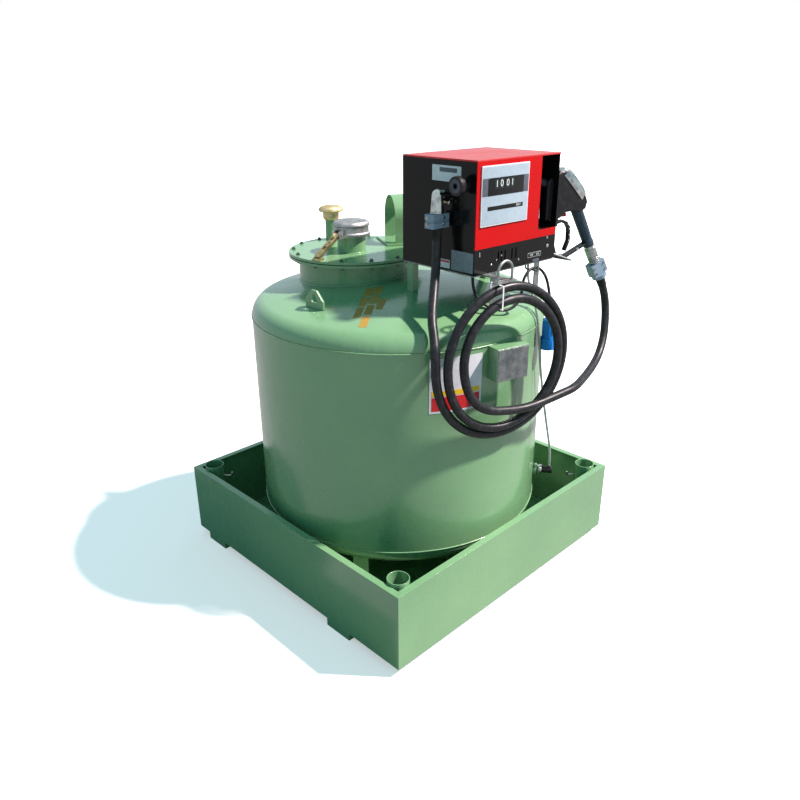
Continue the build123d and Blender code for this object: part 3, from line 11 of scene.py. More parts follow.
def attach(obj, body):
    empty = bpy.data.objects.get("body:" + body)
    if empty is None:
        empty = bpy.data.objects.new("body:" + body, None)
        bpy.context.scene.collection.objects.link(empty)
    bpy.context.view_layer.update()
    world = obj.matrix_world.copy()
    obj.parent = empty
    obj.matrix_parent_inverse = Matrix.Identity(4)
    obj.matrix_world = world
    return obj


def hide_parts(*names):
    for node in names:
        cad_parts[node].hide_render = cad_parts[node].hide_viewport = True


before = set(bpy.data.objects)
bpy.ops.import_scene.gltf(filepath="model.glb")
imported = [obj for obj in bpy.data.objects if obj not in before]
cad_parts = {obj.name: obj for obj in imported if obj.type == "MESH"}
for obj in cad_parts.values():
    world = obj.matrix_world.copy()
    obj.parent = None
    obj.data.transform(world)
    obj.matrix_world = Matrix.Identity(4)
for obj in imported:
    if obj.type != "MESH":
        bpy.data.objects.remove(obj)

LOG = logging.getLogger("dispensing_tank")
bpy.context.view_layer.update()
MM = 0.001
FULL_TURN = 2.0 * math.pi
TANK_TURN = math.radians(-2.9)
WHITE = (1.0, 1.0, 1.0, 1.0)
HERE = Matrix()


def linear(red: int, green: int, blue: int) -> tuple[float, float, float, float]:
    """A colour on the 0 to 255 screen scale as the scene's linear colour.

    Args:
        red: Red part.
        green: Green part.
        blue: Blue part.

    Returns:
        The linear colour with full alpha.
    """
    shares = (value / 255.0 for value in (red, green, blue))
    return (*(share / 12.92 if share <= 0.04045 else ((share + 0.055) / 1.055) ** 2.4
              for share in shares), 1.0)


def at(x: float, y: float, z: float) -> Matrix:
    """A shift inside the frame that it is applied in."""
    return Matrix.Translation((x, y, z))


def turned(angle: float, axis: str = "Z") -> Matrix:
    """A turn in radians about an axis of the frame that it is applied in."""
    return Matrix.Rotation(angle, 4, axis)


TANK = turned(TANK_TURN)


def plane_at(x: float, y: float, z: float, turn: float) -> Matrix:
    """An upright plane's matrix: across, up, and out to its front, in millimetres.

    Args:
        x: Origin in the tank's frame.
        y: Origin in the tank's frame.
        z: Origin height.
        turn: Turn of the plane about the upright axis, in degrees.

    Returns:
        The matrix from the plane to the row frame, still in millimetres.
    """
    angle = math.radians(turn)
    return TANK @ Matrix((
        (math.cos(angle), 0.0, math.sin(angle), x),
        (math.sin(angle), 0.0, -math.cos(angle), y),
        (0.0, 1.0, 0.0, z),
        (0.0, 0.0, 0.0, 1.0),
    ))


COIL = plane_at(-72.0, -587.0, 0.0, -12.0)
NOZZLE = plane_at(300.0, -430.0, 0.0, -12.0)
PLATE = plane_at(-38.5, -604.3, 0.0, -12.0)
PANEL = plane_at(0.0, -479.0, 0.0, 0.0)
LEFT_SIDE = plane_at(-103.0, 0.0, 0.0, -90.0)


def row_points(place: Matrix, *points: tuple) -> list:
    """Points of a local frame, in millimetres, as row points in metres."""
    return [(place @ Vector(point)) * MM for point in points]


def on_circle(radius: float, angle: float, x: float = 0.0, y: float = 0.0) -> tuple:
    """The point of a flat circle at an angle in radians."""
    return (x + radius * math.cos(angle), y + radius * math.sin(angle))


def arc(x: float, y: float, radius: float, first: float, last: float, steps: int) -> list:
    """Points of a flat arc.

    Args:
        x: Centre.
        y: Centre.
        radius: Radius.
        first: First angle in degrees.
        last: Last angle in degrees.
        steps: Number of steps.

    Returns:
        The points, both ends included.
    """
    return [on_circle(radius, math.radians(first + (last - first) * step / steps), x, y)
            for step in range(steps + 1)]


def oblong(x0: float, x1: float, y0: float, y1: float) -> list:
    """Corner points of a rectangle."""
    return [(x0, y0), (x1, y0), (x1, y1), (x0, y1)]


def rounded(x0: float, x1: float, y0: float, y1: float, radius: float) -> list:
    """Corner points of a rectangle with round corners.

    Args:
        x0: Left side.
        x1: Right side.
        y0: Lower side.
        y1: Upper side.
        radius: Radius of the corners.

    Returns:
        The points, counterclockwise from the right side.
    """
    left, right, low, high = x0 + radius, x1 - radius, y0 + radius, y1 - radius
    points = []
    for x, y, start in ((right, high, 0), (left, high, 90), (left, low, 180), (right, low, 270)):
        points += arc(x, y, radius, start, start + 90, 4)
    return points


def feed(node: bpy.types.Node, inputs: dict) -> None:
    """Feed a node's inputs.

    Args:
        node: The node.
        inputs: A socket or a plain value for each input, by its name or number.
    """
    for name, item in inputs.items():
        if isinstance(item, bpy.types.NodeSocket):
            node.id_data.links.new(item, node.inputs[name])
        else:
            node.inputs[name].default_value = item


def add_node(tree: bpy.types.NodeTree, kind: str, inputs: dict,
             **settings: object) -> bpy.types.Node:
    """Add a node, set it up and feed it.

    Args:
        tree: The tree that gets it.
        kind: Type of the node.
        inputs: A socket or a plain value for each input, by its name or number.
        settings: The node's own settings.

    Returns:
        The node.
    """
    node = tree.nodes.new(kind)
    for name, setting in settings.items():
        setattr(node, name, setting)
    feed(node, inputs)
    return node


def maths(tree: bpy.types.NodeTree, operation: str, *items: object) -> bpy.types.NodeSocket:
    """One step of arithmetic in a node tree.

    Args:
        tree: The tree.
        operation: Name of the operation.
        items: Its inputs, each a socket or a number.

    Returns:
        The value socket.
    """
    node = add_node(tree, "ShaderNodeMath", dict(enumerate(items)), operation=operation)
    return node.outputs["Value"]


def mapped(tree: bpy.types.NodeTree, value: object, reads: tuple,
           gives: tuple) -> bpy.types.NodeSocket:
    """A value stretched from one range to another.

    Args:
        tree: The tree.
        value: The value's socket.
        reads: Low and high end of the range that it reads.
        gives: Low and high end of the range that it gives.

    Returns:
        The value socket.
    """
    node = add_node(tree, "ShaderNodeMapRange", {
        "Value": value, "From Min": reads[0], "From Max": reads[1],
        "To Min": gives[0], "To Max": gives[1]})
    return node.outputs["Result"]


def mixed(tree: bpy.types.NodeTree, factor: object, first: object,
          second: object) -> bpy.types.NodeSocket:
    """A mix of two colours, each a socket or a plain colour.

    Args:
        tree: The tree.
        factor: A socket or a number.
        first: Colour at 0.
        second: Colour at 1.

    Returns:
        The colour socket.
    """
    factor_at, first_at, second_at, colour_at = 0, 6, 7, 2
    node = add_node(tree, "ShaderNodeMix", {}, data_type="RGBA")
    feed(node, {factor_at: factor, first_at: first, second_at: second})
    return node.outputs[colour_at]


def bumped(tree: bpy.types.NodeTree, height: object, strength: float, distance: float,
           under: object = None, invert: bool = False) -> bpy.types.NodeSocket:
    """A bump from a height, laid over another bump if one is given.

    Args:
        tree: The tree.
        height: The height socket.
        strength: Strength from 0 to 1.
        distance: Height of the bumps in metres.
        under: The normal socket that lies under it.
        invert: Whether the height goes inwards.

    Returns:
        The normal socket.
    """
    node = add_node(tree, "ShaderNodeBump", {
        "Strength": strength, "Distance": distance, "Height": height}, invert=invert)
    if under is not None:
        feed(node, {"Normal": under})
    return node.outputs["Normal"]


class Sheen(Enum):
    """How shiny a finish is, as the roughness of its clean parts."""

    GLOSS = 0.16
    ENAMEL = 0.24
    SATIN = 0.38
    DULL = 0.55
    MATT = 0.75


class Noise(Enum):
    """The patterns that the finishes share: features per metre and number of octaves."""

    PAINT_TONE = (2.4, 3.0)
    PAINT_DUST = (38.0, 8.0)
    PAINT_SHEEN = (11.0, 6.0)
    SHEET_WAVE = (5.0, 2.0)
    ORANGE_PEEL = (420.0, 2.0)
    METAL_STAIN = (46.0, 6.0)
    MOULDED_WEAR = (60.0, 7.0)
    MOULDED_SHEEN = (25.0, 5.0)


class Nodes:
    """A short way to build one material's node tree."""

    def __init__(self, name: str) -> None:
        """Start a material whose coordinates are the object's own.

        Args:
            name: Name of the material.
        """
        self.material = bpy.data.materials.new(name)
        self.material.use_nodes = True
        self.tree = self.material.node_tree
        self.shader = self.tree.nodes["Principled BSDF"]
        self.coords = self.tree.nodes.new("ShaderNodeTexCoord").outputs["Object"]

    def noise(self, pattern: tuple, stretch: tuple = (1.0, 1.0, 1.0)) -> bpy.types.NodeSocket:
        """A noise pattern on the object's own coordinates.

        Args:
            pattern: Features per metre and number of octaves.
            stretch: Scale along each axis.

        Returns:
            The factor socket.
        """
        mapping = add_node(self.tree, "ShaderNodeMapping",
                           {"Scale": stretch, "Vector": self.coords})
        noise = add_node(self.tree, "ShaderNodeTexNoise", {
            "Scale": pattern[0], "Detail": pattern[1], "Vector": mapping.outputs["Vector"]})
        return noise.outputs["Fac"]

    def ramp(self, pattern: tuple, fade: tuple, colours: tuple) -> bpy.types.NodeSocket:
        """A noise pattern that fades from one colour to another.

        Args:
            pattern: Features per metre and number of octaves.
            fade: Where the first colour ends and where the second one starts.
            colours: The two colours.

        Returns:
            The colour socket.
        """
        node = add_node(self.tree, "ShaderNodeValToRGB", {"Fac": self.noise(pattern)})
        for element, place, colour in zip(node.color_ramp.elements, fade, colours):
            element.position = place
            element.color = colour
        return node.outputs["Color"]

    def spread(self, factor: object, low: float, high: float) -> bpy.types.NodeSocket:
        """A noise's middle range stretched between two values."""
        return mapped(self.tree, factor, (0.3, 0.7), (low, high))

    def finish(self, inputs: dict) -> bpy.types.Material:
        """Feed the shader.

        Args:
            inputs: A socket or a plain value for each of its inputs.

        Returns:
            The finished material.
        """
        feed(self.shader, inputs)
        return self.material


@dataclass(frozen=True)
class Enamel:
    """Sprayed paint on steel, with a little unevenness, dust and orange peel."""

    name: str
    colour: tuple
    shade: tuple
    dust: tuple
    sheen: Sheen = Sheen.ENAMEL
    coat: float = 0.35
    peel: float = 0.00004
    dust_share: float = 0.25
    mirror: float = 0.5
    coat_sheen: float = 0.12
    wave: float = 0.0016
    fade: tuple = (0.35, 0.72)
    sheen_range: tuple = (0.75, 1.35)

    def material(self) -> bpy.types.Material:
        """Build the paint.

        Returns:
            The new material.
        """
        nodes = Nodes(self.name)
        low, high = (self.sheen.value * share for share in self.sheen_range)
        tone = nodes.ramp(Noise.PAINT_TONE.value, self.fade, (self.colour, self.shade))
        dusty = nodes.spread(nodes.noise(Noise.PAINT_DUST.value), 0.0, self.dust_share)
        wave = bumped(nodes.tree, nodes.noise(Noise.SHEET_WAVE.value), 0.35, self.wave)
        return nodes.finish({
            "Base Color": mixed(nodes.tree, dusty, tone, self.dust),
            "Roughness": nodes.spread(nodes.noise(Noise.PAINT_SHEEN.value), low, high),
            "Specular IOR Level": self.mirror,
            "Coat Weight": self.coat,
            "Coat Roughness": self.coat_sheen,
            "Normal": bumped(nodes.tree, nodes.noise(Noise.ORANGE_PEEL.value), 0.5,
                             self.peel, wave),
        })


@dataclass(frozen=True)
class Dimpled(Enamel):
    """Sprayed paint on sheet that is pressed with rows of small dimples, each darkened by painted
    shade.
    """

    row_pitch: float = 0.028
    dimple_pitch: float = 0.015
    depth: float = 0.0016
    top: float = 1.58
    # Painted shade: the near-black red laid into each dimple stands in for the shade that falls in
    # it.
    pit_shade_colour: tuple = (0.09, 0.004, 0.006, 1.0)

    def material(self) -> bpy.types.Material:
        """Build the paint, press the dimples in its top face and paint shade dark in them.

        Returns:
            The new material.
        """
        material = super().material()
        tree = material.node_tree
        shader = tree.nodes["Principled BSDF"]
        coords = [node for node in tree.nodes if node.type == "TEX_COORD"][0]
        square = add_node(tree, "ShaderNodeMapping", {
            "Rotation": (0.0, 0.0, -TANK_TURN), "Vector": coords.outputs["Object"]})
        split = add_node(tree, "ShaderNodeSeparateXYZ", {"Vector": square.outputs["Vector"]})
        waves = [maths(tree, "COSINE", maths(tree, "MULTIPLY", split.outputs[axis],
                                             FULL_TURN / pitch))
                 for axis, pitch in (("X", self.row_pitch), ("Y", self.dimple_pitch))]
        on_top = maths(tree, "GREATER_THAN", split.outputs["Z"], self.top - 0.5 * MM)
        shown = maths(tree, "MULTIPLY", on_top, maths(tree, "ADD", *waves))
        dimple_and_shade = mapped(tree, shown, (0.5, 1.3), (0.0, 1.0))
        paint, under = (shader.inputs[name].links[0].from_socket
                        for name in ("Base Color", "Normal"))
        # The dimples' mask darkens the paint in them as painted shade and presses them in as a
        # bump.
        feed(shader, {
            "Base Color": mixed(tree, dimple_and_shade, paint, self.pit_shade_colour),
            "Normal": bumped(tree, dimple_and_shade, 1.0, self.depth, under, invert=True),
        })
        return material


@dataclass(frozen=True)
class Metal:
    """Bare or plated metal with streaks, dull patches and fine marks."""

    name: str
    colour: tuple
    stain: tuple
    sheen: Sheen = Sheen.SATIN
    stretch: tuple = (1.0, 1.0, 1.0)
    grain: float = 160.0
    depth: float = 0.00008
    fade: tuple = (0.38, 0.70)
    sheen_range: tuple = (0.7, 1.35)

    def material(self) -> bpy.types.Material:
        """Build the metal.

        Returns:
            The new material.
        """
        nodes = Nodes(self.name)
        low, high = (self.sheen.value * share for share in self.sheen_range)
        streaks = nodes.noise((self.grain, 5.0), self.stretch)
        return nodes.finish({
            "Base Color": nodes.ramp(Noise.METAL_STAIN.value, self.fade,
                                     (self.colour, self.stain)),
            "Metallic": 1.0,
            "Roughness": nodes.spread(streaks, low, high),
            "Normal": bumped(nodes.tree, streaks, 0.5, self.depth),
        })


@dataclass(frozen=True)
class Moulding:
    """Moulded plastic, rubber or film with a fine grain and a little wear."""

    name: str
    colour: tuple
    worn: tuple
    sheen: Sheen = Sheen.SATIN
    grain: float = 900.0
    depth: float = 0.00006
    clear: float = 0.0
    mirror: float = 0.3
    fade: tuple = (0.45, 0.80)
    sheen_range: tuple = (0.8, 1.3)

    def material(self) -> bpy.types.Material:
        """Build the plastic or rubber.

        Returns:
            The new material.
        """
        nodes = Nodes(self.name)
        low, high = (self.sheen.value * share for share in self.sheen_range)
        return nodes.finish({
            "Base Color": nodes.ramp(Noise.MOULDED_WEAR.value, self.fade,
                                     (self.colour, self.worn)),
            "Roughness": nodes.spread(nodes.noise(Noise.MOULDED_SHEEN.value), low, high),
            "Transmission Weight": self.clear,
            "Specular IOR Level": self.mirror,
            "Normal": bumped(nodes.tree, nodes.noise((self.grain, 3.0)), 0.6, self.depth),
        })


GREEN = (linear(112, 155, 110), linear(100, 143, 102))
PALE_DUST = linear(130, 162, 124)
FILM = (Sheen.SATIN, 900.0, 0.00001)
FINISHES = {
    "green": Enamel("sage_green_enamel", *GREEN, PALE_DUST, Sheen.ENAMEL, 0.5, 0.00004, 0.16),
    # Painted shade: the bolts carry the tank's green paint; this darker green stands in for the
    # shade on their small heads and on the nuts under the cover's flange.
    "shaded_bolt_green": Enamel("bolt_enamel_painted_shade", linear(58, 88, 62), linear(46, 74, 52), PALE_DUST,
                         Sheen.SATIN, 0.2, 0.00003, 0.2),
    "weld": Enamel("weld_bead_enamel", *GREEN, PALE_DUST, Sheen.ENAMEL, 0.4, 0.0009, 0.16),
    "red": Enamel("signal_red_enamel", linear(187, 7, 11), linear(178, 6, 9),
                  linear(186, 34, 34), Sheen.ENAMEL, 0.0, 0.00003, 0.05, 0.14),
    "dimpled": Dimpled("dimpled_red_enamel", linear(196, 12, 16), linear(184, 9, 13),
                       linear(216, 70, 70), Sheen.SATIN, 0.3, 0.00003, 0.1),
    "black": Enamel("black_textured_coat", linear(16, 16, 16), linear(11, 11, 12),
                    linear(30, 29, 27), Sheen.GLOSS, 0.0, 0.00006, 0.15, 0.2),
    "clamp": Enamel("blue_grey_coat", linear(118, 140, 158), linear(100, 122, 142),
                    linear(136, 154, 168), Sheen.SATIN, 0.1, 0.00012, 0.3),
    "zinc": Metal("zinc_plate", linear(176, 182, 180), linear(140, 147, 146)),
    "galvanised": Metal("galvanised_bar", linear(158, 166, 164), linear(120, 128, 126),
                        Sheen.DULL, grain=60.0),
    "cast": Metal("cast_alloy", linear(178, 180, 180), linear(132, 134, 134),
                  Sheen.DULL, grain=320.0, depth=0.0002),
    "bright": Metal("bright_plate", linear(206, 206, 200), linear(132, 138, 142),
                    Sheen.GLOSS, grain=80.0),
    "brass": Metal("aged_brass", linear(212, 198, 158), linear(186, 164, 116),
                   Sheen.DULL, grain=200.0, depth=0.00015),
    "passivated": Metal("yellow_zinc", linear(196, 180, 134), linear(140, 112, 76), grain=120.0),
    "brushed": Metal("brushed_plate", linear(140, 146, 146), linear(104, 110, 112),
                     Sheen.SATIN, (1.0, 1.0, 14.0), 220.0, 0.00005),
    "hose": Moulding("black_hose_rubber", linear(22, 23, 26), linear(48, 50, 54), grain=500.0),
    "rubber": Moulding("gasket_rubber", linear(24, 24, 24), linear(50, 50, 48), Sheen.MATT),
    "plastic": Moulding("black_moulding", linear(18, 18, 20), linear(40, 40, 42)),
    "grip": Moulding("blue_grey_grip", linear(36, 54, 66), linear(64, 84, 96),
                     Sheen.SATIN, 700.0, 0.0001),
    "blue": Moulding("plug_blue", linear(16, 130, 220), linear(40, 140, 216)),
    "white": Moulding("white_moulding", linear(226, 228, 224), linear(200, 202, 196)),
    "tube": Moulding("cloudy_tube", linear(186, 196, 190), linear(160, 172, 166), clear=0.5),
    "face": Moulding("meter_face", linear(159, 176, 186), linear(149, 165, 175),
                     Sheen.SATIN, 1200.0, 0.00002),
    "label": Moulding("label_film", linear(206, 209, 214), linear(190, 193, 198), *FILM),
    "grey_label": Moulding("grey_label_film", linear(120, 130, 138), linear(96, 104, 112), *FILM),
    "red_film": Moulding("red_film", linear(196, 40, 44), linear(176, 36, 40), *FILM),
    "yellow_film": Moulding("yellow_film", linear(228, 190, 40), linear(206, 172, 40), *FILM),
    "orange": Moulding("orange_stencil", linear(158, 122, 50), linear(128, 128, 66),
                       Sheen.DULL, 300.0, 0.00002),
    "grey_bar": Moulding("grey_bar", linear(84, 90, 98), linear(70, 76, 84), *FILM),
    "window": Moulding("dark_window", linear(12, 14, 16), linear(20, 22, 24),
                       Sheen.GLOSS, 200.0, 0.00001),
    "figures": Moulding("wheel_figures", linear(214, 222, 214), linear(196, 204, 196),
                        Sheen.DULL),
    "wheel": Moulding("number_wheel", linear(26, 34, 36), linear(36, 44, 46), Sheen.DULL),
    "ring_grey": Moulding("knob_ring_grey", linear(76, 76, 84), linear(60, 60, 68)),
    "bluish": Moulding("bluish_moulding", linear(30, 44, 54), linear(48, 64, 76)),
}
MATERIALS = {key: finish.material() for key, finish in FINISHES.items()}


def baked(thing: bpy.types.Object) -> bpy.types.Mesh:
    """A temporary object turned to a plain mesh and removed.

    Args:
        thing: The object, not yet in the scene.

    Returns:
        The mesh that its modifiers or curve give.
    """
    bpy.context.scene.collection.objects.link(thing)
    bpy.context.view_layer.update()
    graph = bpy.context.evaluated_depsgraph_get()
    mesh = bpy.data.meshes.new_from_object(thing.evaluated_get(graph))
    bpy.data.objects.remove(thing)
    return mesh


def closed_up(work: bmesh.types.BMesh) -> bpy.types.Mesh:
    """A worked shape as a mesh whose faces point outwards.

    Args:
        work: The shape; it is used up.

    Returns:
        The mesh.
    """
    bmesh.ops.recalc_face_normals(work, faces=work.faces)
    mesh = bpy.data.meshes.new("solid")
    work.to_mesh(mesh)
    work.free()
    return mesh


def finished(mesh: bpy.types.Mesh, name: str, finish: str, body: str = "unit",
             sharp: float = 32.0) -> bpy.types.Object:
    """Put a mesh in the scene as a piece that rides on a body.

    Args:
        mesh: The mesh, in metres in the row frame.
        name: The piece's name.
        finish: Key of its finish.
        body: The CAD body it rides on.
        sharp: Angle in degrees over which an edge stays sharp.

    Returns:
        The new object.
    """
    piece = bpy.data.objects.new(name, mesh)
    bpy.context.scene.collection.objects.link(piece)
    mesh.shade_smooth()
    mesh.set_sharp_from_angle(angle=math.radians(sharp))
    mesh.materials.clear()
    mesh.materials.append(MATERIALS[finish])
    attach(piece, body)
    LOG.info("piece %s: %d faces", name, len(mesh.polygons))
    return piece


def smooth_line(name: str, points: list, radius: float, closed: bool = False, fine: int = 6,
                round_steps: int = 4) -> bpy.types.Curve:
    """A round wire or cord that follows its control points on one smooth line.

    Args:
        name: Name of the curve.
        points: The line's control points.
        radius: The wire's radius.
        closed: Whether the line is a loop.
        fine: Steps between its control points.
        round_steps: Steps in a quarter of its round.

    Returns:
        The curve.
    """
    curve = bpy.data.curves.new(name, "CURVE")
    curve.dimensions = "3D"
    spline = curve.splines.new("NURBS")
    spline.points.add(len(points) - 1)
    for point, place in zip(spline.points, points):
        point.co = (*place, 1.0)
    spline.order_u = 3
    spline.use_cyclic_u = closed
    spline.use_endpoint_u = not closed
    spline.resolution_u = fine
    curve.bevel_depth = radius
    curve.bevel_resolution = round_steps
    curve.use_fill_caps = not closed
    return curve


class Shape:
    """Collects solids of one finish in one mesh, in millimetres, in the frame of each solid."""

    def __init__(self, place: Matrix) -> None:
        """Start an empty shape in a frame."""
        self.place = place
        self.mesh = bmesh.new()

    def add(self, mesh: bpy.types.Mesh, local: Matrix = HERE) -> "Shape":
        """Add a finished mesh.

        Args:
            mesh: The mesh, in millimetres; it is used up.
            local: Its place in the shape's frame.

        Returns:
            The shape itself.
        """
        mesh.transform(self.place @ local)
        self.mesh.from_mesh(mesh)
        bpy.data.meshes.remove(mesh)
        return self

    def lathe(self, profile: list, local: Matrix = HERE, segments: int = 48) -> "Shape":
        """Turn a profile of (radius, height) points about the local upright axis.

        Args:
            profile: The points; a profile off the axis is closed to a ring.
            local: Its place in the shape's frame.
            segments: Number of sides.

        Returns:
            The shape itself.
        """
        on_axis = 1e-6
        work = bmesh.new()
        rings = []
        for radius, height in profile:
            around = 1 if radius < on_axis else segments
            rings.append([work.verts.new((*on_circle(radius if around > 1 else 0.0,
                                                     FULL_TURN * index / segments), height))
                          for index in range(around)])
        pairs = list(zip(rings, rings[1:]))
        if profile[0][0] > on_axis:
            pairs.append((rings[-1], rings[0]))
        for low, high in pairs:
            for index in range(segments):
                after = (index + 1) % segments
                if len(low) == 1:
                    work.faces.new((low[0], high[after], high[index]))
                elif len(high) == 1:
                    work.faces.new((low[index], low[after], high[0]))
                else:
                    work.faces.new((low[index], low[after], high[after], high[index]))
        return self.add(closed_up(work), local)

    def loft(self, rows: list) -> "Shape":
        """Join rows of points, each a closed outline, to one solid.

        Args:
            rows: The rows, all with the same number of points.

        Returns:
            The shape itself.
        """
        work = bmesh.new()
        rings = [[work.verts.new(point) for point in row] for row in rows]
        for low, high in zip(rings, rings[1:]):
            for index in range(len(low)):
                after = (index + 1) % len(low)
                work.faces.new((low[index], low[after], high[after], high[index]))
        work.faces.new(rings[0])
        work.faces.new(rings[-1])
        return self.add(closed_up(work))

    def plate(self, outline: list, depth: float, bevel: float = 0.5, holes: list = (),
              local: Matrix = HERE) -> "Shape":
        """A flat plate with softened edges and holes, centred on its plane.

        Args:
            outline: Corner points in the plane.
            depth: Thickness.
            bevel: Size of the softened edge.
            holes: More outlines, one for each hole.
            local: Its place in the shape's frame.

        Returns:
            The shape itself.
        """
        curve = bpy.data.curves.new("plate", "CURVE")
        curve.dimensions = "2D"
        curve.fill_mode = "BOTH"
        for points in [outline, *holes]:
            spline = curve.splines.new("POLY")
            spline.points.add(len(points) - 1)
            for point, (x, y) in zip(spline.points, points):
                point.co = (x, y, 0.0, 1.0)
            spline.use_cyclic_u = True
        curve.extrude = depth / 2.0 - bevel
        curve.bevel_depth = bevel
        curve.bevel_resolution = 2
        curve.offset = -bevel
        return self.add(baked(bpy.data.objects.new("plate", curve)), local)

    def block(self, size: tuple, local: Matrix = HERE, bevel: float = 0.6) -> "Shape":
        """A block with softened edges, centred in its frame.

        Args:
            size: Width, height and depth.
            local: Its place in the shape's frame.
            bevel: Size of the softened edge.

        Returns:
            The shape itself.
        """
        work = bmesh.new()
        bmesh.ops.create_cube(work, size=1.0, matrix=Matrix.Diagonal((*size, 1.0)))
        bmesh.ops.bevel(work, geom=work.edges[:], offset=bevel, segments=2, profile=0.6,
                        affect="EDGES")
        return self.add(closed_up(work), local)

    def wire(self, points: list, radius: float, closed: bool = False, fine: int = 6) -> "Shape":
        """A round wire that follows points on one smooth line.

        Args:
            points: The line's control points.
            radius: The wire's radius.
            closed: Whether the line is a loop.
            fine: Steps between its control points.

        Returns:
            The shape itself.
        """
        curve = smooth_line("wire", points, radius, closed, fine)
        return self.add(baked(bpy.data.objects.new("wire", curve)))

    def pad(self, start: tuple, end: tuple, width: float, rise: float) -> "Shape":
        """A stadium-shaped pad with a domed face, on a slanted line of the local plane.

        Args:
            start: One end of its foot, in the plane.
            end: The other end.
            width: Width across the plane.
            rise: Height of the dome over its foot.

        Returns:
            The shape itself.
        """
        steps, around = 28, 16
        foot = Vector((*start, 0.0))
        along = Vector((*end, 0.0)) - foot
        away = Vector((-along.y, along.x, 0.0)).normalized()
        if away.x < 0.0:
            away = -away
        rows = []
        for step in range(1, steps):
            share = 0.5 - 0.5 * math.cos(math.pi * step / steps)
            lean = abs(2.0 * share - 1.0)
            half = width / 2.0 * (1.0 - lean ** 5.0) ** 0.36
            tall = rise * (1.0 - lean ** 4.0) ** 0.5
            row = []
            for index in range(around + 1):
                angle = math.pi * index / around
                side = math.copysign(abs(math.cos(angle)) ** 0.55, math.cos(angle))
                lift = math.sin(angle) ** 0.75 if 0 < index < around else 0.0
                row.append(foot + along * share + away * tall * lift
                           + Vector((0.0, 0.0, half * side)))
            rows.append(row)
        return self.loft(rows)

    def film(self, radius: float, first: float, last: float, low: float,
             high: float) -> "Shape":
        """A thin film that lies round an upright cylinder.

        Args:
            radius: Radius of its inner face.
            first: First angle in degrees.
            last: Last angle in degrees.
            low: Height of its lower edge.
            high: Height of its upper edge.

        Returns:
            The shape itself.
        """
        steps, depth = 20, 0.5
        corners = oblong(radius, radius + depth, low, high)
        angles = [math.radians(first + (last - first) * step / steps)
                  for step in range(steps + 1)]
        return self.loft([[(*on_circle(reach, angle), height) for reach, height in corners]
                          for angle in angles])

    def text(self, words: str, size: float, local: Matrix = HERE) -> "Shape":
        """Plain figures or words, standing a little proud.

        Args:
            words: What is written.
            size: Height of the letters.
            local: Its place in the shape's frame.

        Returns:
            The shape itself.
        """
        letters = bpy.data.curves.new("letters", "FONT")
        letters.body = words
        letters.size = size
        letters.align_x = "CENTER"
        letters.align_y = "CENTER"
        letters.extrude = 0.15
        return self.add(baked(bpy.data.objects.new("letters", letters)), local)

    def piece(self, name: str, finish: str, body: str = "unit",
              sharp: float = 32.0) -> bpy.types.Object:
        """Finish the shape as one piece of the object.

        Args:
            name: The piece's name.
            finish: Key of its finish.
            body: The CAD body it rides on.
            sharp: Angle in degrees over which an edge stays sharp.

        Returns:
            The new object.
        """
        bmesh.ops.remove_doubles(self.mesh, verts=self.mesh.verts, dist=0.001)
        mesh = bpy.data.meshes.new(name)
        self.mesh.to_mesh(mesh)
        self.mesh.free()
        mesh.transform(Matrix.Scale(MM, 4))
        return finished(mesh, name, finish, body, sharp)


def flat_piece(name: str, finish: str, plane: Matrix, out: float, outline: list,
               depth: float = 0.4, bevel: float = 0.1) -> None:
    """Lay one flat plate or film on a plane as a piece of its own.

    Args:
        name: The piece's name.
        finish: Key of its finish.
        plane: The plane that it lies on.
        out: How far its middle stands out of the plane.
        outline: Its corner points.
        depth: Thickness.
        bevel: Size of the softened edge.
    """
    Shape(plane @ at(0.0, 0.0, out)).plate(outline, depth, bevel).piece(name, finish)


def turned_piece(name: str, finish: str, place: Matrix, *profiles: list,
                 segments: int = 48) -> None:
    """Turn one piece from its profiles.

    Args:
        name: The piece's name.
        finish: Key of its finish.
        place: Its frame.
        profiles: Profiles of (radius, height) points.
        segments: Number of sides.
    """
    shape = Shape(place)
    for profile in profiles:
        shape.lathe(profile, segments=segments)
    shape.piece(name, finish)


class Layout(Enum):
    """How a set of bolts is set out."""

    RING = "ring"
    ROW = "row"


